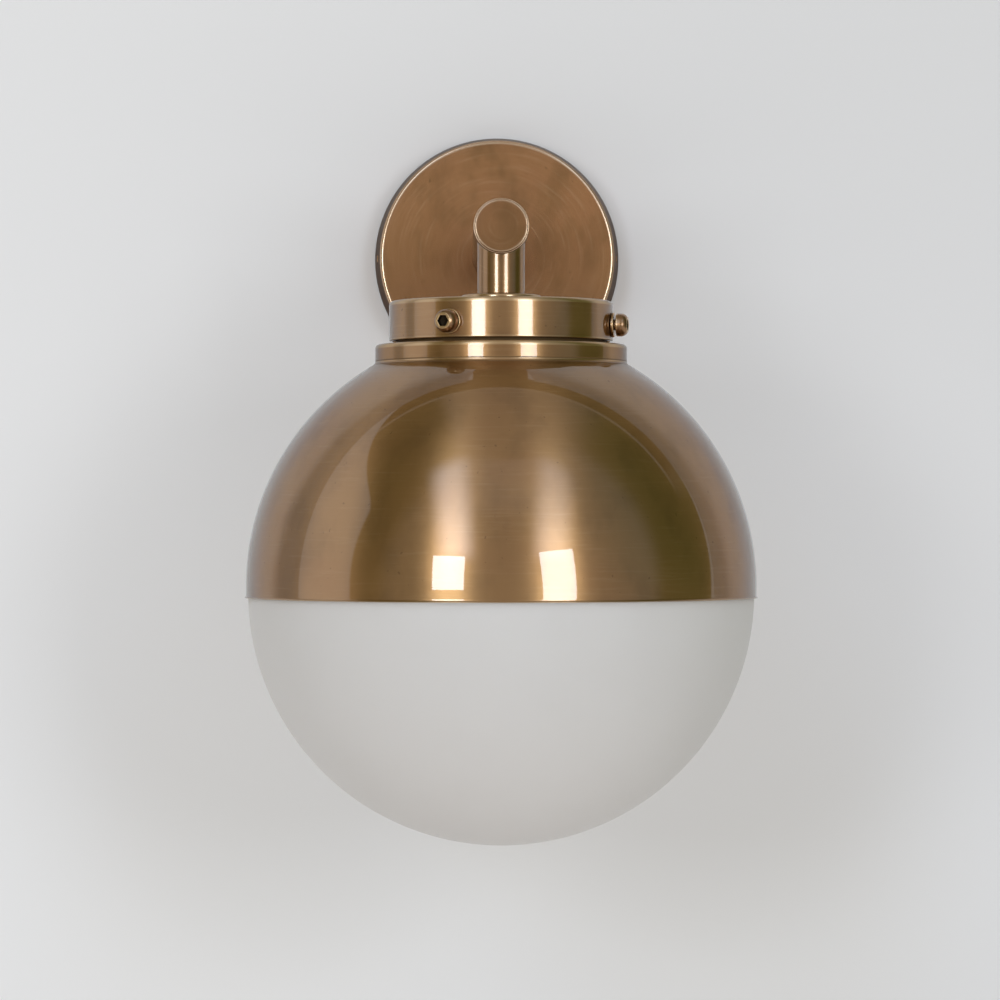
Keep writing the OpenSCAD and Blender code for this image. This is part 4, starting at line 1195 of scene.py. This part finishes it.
def build_stage():
    """Camera, wall, two soft lights in front and the room's own light."""
    stage = bpy.context.scene.wall_light_stage
    data = bpy.data.cameras.new("camera")
    data.lens, data.sensor_width = stage.lens, 36.0
    data.shift_x, data.shift_y = stage.shift_x, stage.shift_y
    data.clip_start, data.clip_end = 0.05, 50.0
    camera = bpy.data.objects.new("camera", data)
    bpy.context.scene.collection.objects.link(camera)
    camera.location = (stage.camera_x, STEM_Y - stage.camera_reach, stage.camera_z)
    camera.rotation_euler = (math.radians(90), 0.0, 0.0)
    bpy.context.scene.camera = camera
    wall = build_wall()
    made = bpy.data.materials.new(wall.name)
    made.use_nodes = True
    wall_paint(Recipe(made.node_tree), stage.wall_tone, stage.far_tone)
    wall.data.materials.append(made)
    light_room(stage)
    target = Vector((0.0, STEM_Y, GLOBE_Z))
    soft_box("soft_left", -23.2, 6.5, 1.6, 0.385, 0.384, 0.0, stage.soft_light, target)
    soft_box("soft_right", 24.1, 6.6, 1.6, 0.41, 0.51, 4.0, 0.84 * stage.soft_light, target)
    bpy.context.scene.view_settings.view_transform = "Standard"


# Operators

class WALL_LIGHT_OT_stage(bpy.types.Operator):
    """Adds the camera, the wall and the light"""

    bl_idname = "wall_light.stage"
    bl_label = "Stage"

    def execute(self, context):
        build_stage()
        return {"FINISHED"}


class WALL_LIGHT_OT_backplate(bpy.types.Operator):
    """Adds the backplate and the gasket behind it"""

    bl_idname = "wall_light.backplate"
    bl_label = "Backplate"

    def execute(self, context):
        build_backplate()
        return {"FINISHED"}


class WALL_LIGHT_OT_plate_screws(bpy.types.Operator):
    """Adds the two grub screws in the plate's side"""

    bl_idname = "wall_light.plate_screws"
    bl_label = "Plate screws"

    def execute(self, context):
        build_plate_screws()
        return {"FINISHED"}


class WALL_LIGHT_OT_arm(bpy.types.Operator):
    """Adds the arm and its end cap"""

    bl_idname = "wall_light.arm"
    bl_label = "Arm"

    def execute(self, context):
        build_arm()
        return {"FINISHED"}


class WALL_LIGHT_OT_stem(bpy.types.Operator):
    """Adds the stem and its rosette"""

    bl_idname = "wall_light.stem"
    bl_label = "Stem"

    def execute(self, context):
        build_stem()
        return {"FINISHED"}


class WALL_LIGHT_OT_gallery(bpy.types.Operator):
    """Adds the gallery and its rubber ring"""

    bl_idname = "wall_light.gallery"
    bl_label = "Gallery"

    def execute(self, context):
        build_gallery()
        return {"FINISHED"}


class WALL_LIGHT_OT_clamp_screws(bpy.types.Operator):
    """Adds the three clamp screws and their lock nuts"""

    bl_idname = "wall_light.clamp_screws"
    bl_label = "Clamp screws"

    def execute(self, context):
        build_clamp_screws()
        return {"FINISHED"}


class WALL_LIGHT_OT_dome(bpy.types.Operator):
    """Adds the half-dome shade"""

    bl_idname = "wall_light.dome"
    bl_label = "Dome shade"

    def execute(self, context):
        build_dome()
        return {"FINISHED"}


class WALL_LIGHT_OT_globe(bpy.types.Operator):
    """Adds the glass globe and the ring that the dome rests on"""

    bl_idname = "wall_light.globe"
    bl_label = "Globe"

    def execute(self, context):
        build_globe()
        return {"FINISHED"}


class WALL_LIGHT_OT_lampholder(bpy.types.Operator):
    """Adds the lampholder's shells"""

    bl_idname = "wall_light.lampholder"
    bl_label = "Lampholder"

    def execute(self, context):
        build_lampholder()
        return {"FINISHED"}


class WALL_LIGHT_OT_lamp(bpy.types.Operator):
    """Adds the lamp"""

    bl_idname = "wall_light.lamp"
    bl_label = "Lamp"

    def execute(self, context):
        build_lamp()
        return {"FINISHED"}


class WALL_LIGHT_OT_fittings(bpy.types.Operator):
    """Finishes the bracket, the terminals, the nipples, the nuts and the wires"""

    bl_idname = "wall_light.fittings"
    bl_label = "Fittings"

    def execute(self, context):
        finish_fittings()
        return {"FINISHED"}


OPERATORS = (
    WALL_LIGHT_OT_stage, WALL_LIGHT_OT_backplate, WALL_LIGHT_OT_plate_screws, WALL_LIGHT_OT_arm,
    WALL_LIGHT_OT_stem, WALL_LIGHT_OT_gallery, WALL_LIGHT_OT_clamp_screws, WALL_LIGHT_OT_dome,
    WALL_LIGHT_OT_globe, WALL_LIGHT_OT_lampholder, WALL_LIGHT_OT_lamp, WALL_LIGHT_OT_fittings,
)


class WALL_LIGHT_PT_panel(bpy.types.Panel):
    """Lists the wall light's pieces"""

    bl_idname = "WALL_LIGHT_PT_panel"
    bl_label = "Wall Light"
    bl_space_type = "VIEW_3D"
    bl_region_type = "UI"
    bl_category = "Wall Light"

    def draw(self, context):
        for operator in OPERATORS:
            self.layout.operator(operator.bl_idname)


SETTINGS = {
    "wall_light_sizes": WallLightSizes,
    "wall_light_finish": WallLightFinish,
    "wall_light_stage": WallLightStage,
}


def register():
    for kind in (*SETTINGS.values(), *OPERATORS, WALL_LIGHT_PT_panel):
        bpy.utils.register_class(kind)
    for label, kind in SETTINGS.items():
        setattr(bpy.types.Scene, label, bpy.props.PointerProperty(type=kind))


def unregister():
    for label in SETTINGS:
        delattr(bpy.types.Scene, label)
    for kind in (WALL_LIGHT_PT_panel, *reversed(OPERATORS), *reversed(SETTINGS.values())):
        bpy.utils.unregister_class(kind)


def main():
    register()
    for operator in OPERATORS:
        getattr(bpy.ops.wall_light, operator.bl_idname.split(".")[1])()


if __name__ == "__main__":
    main()
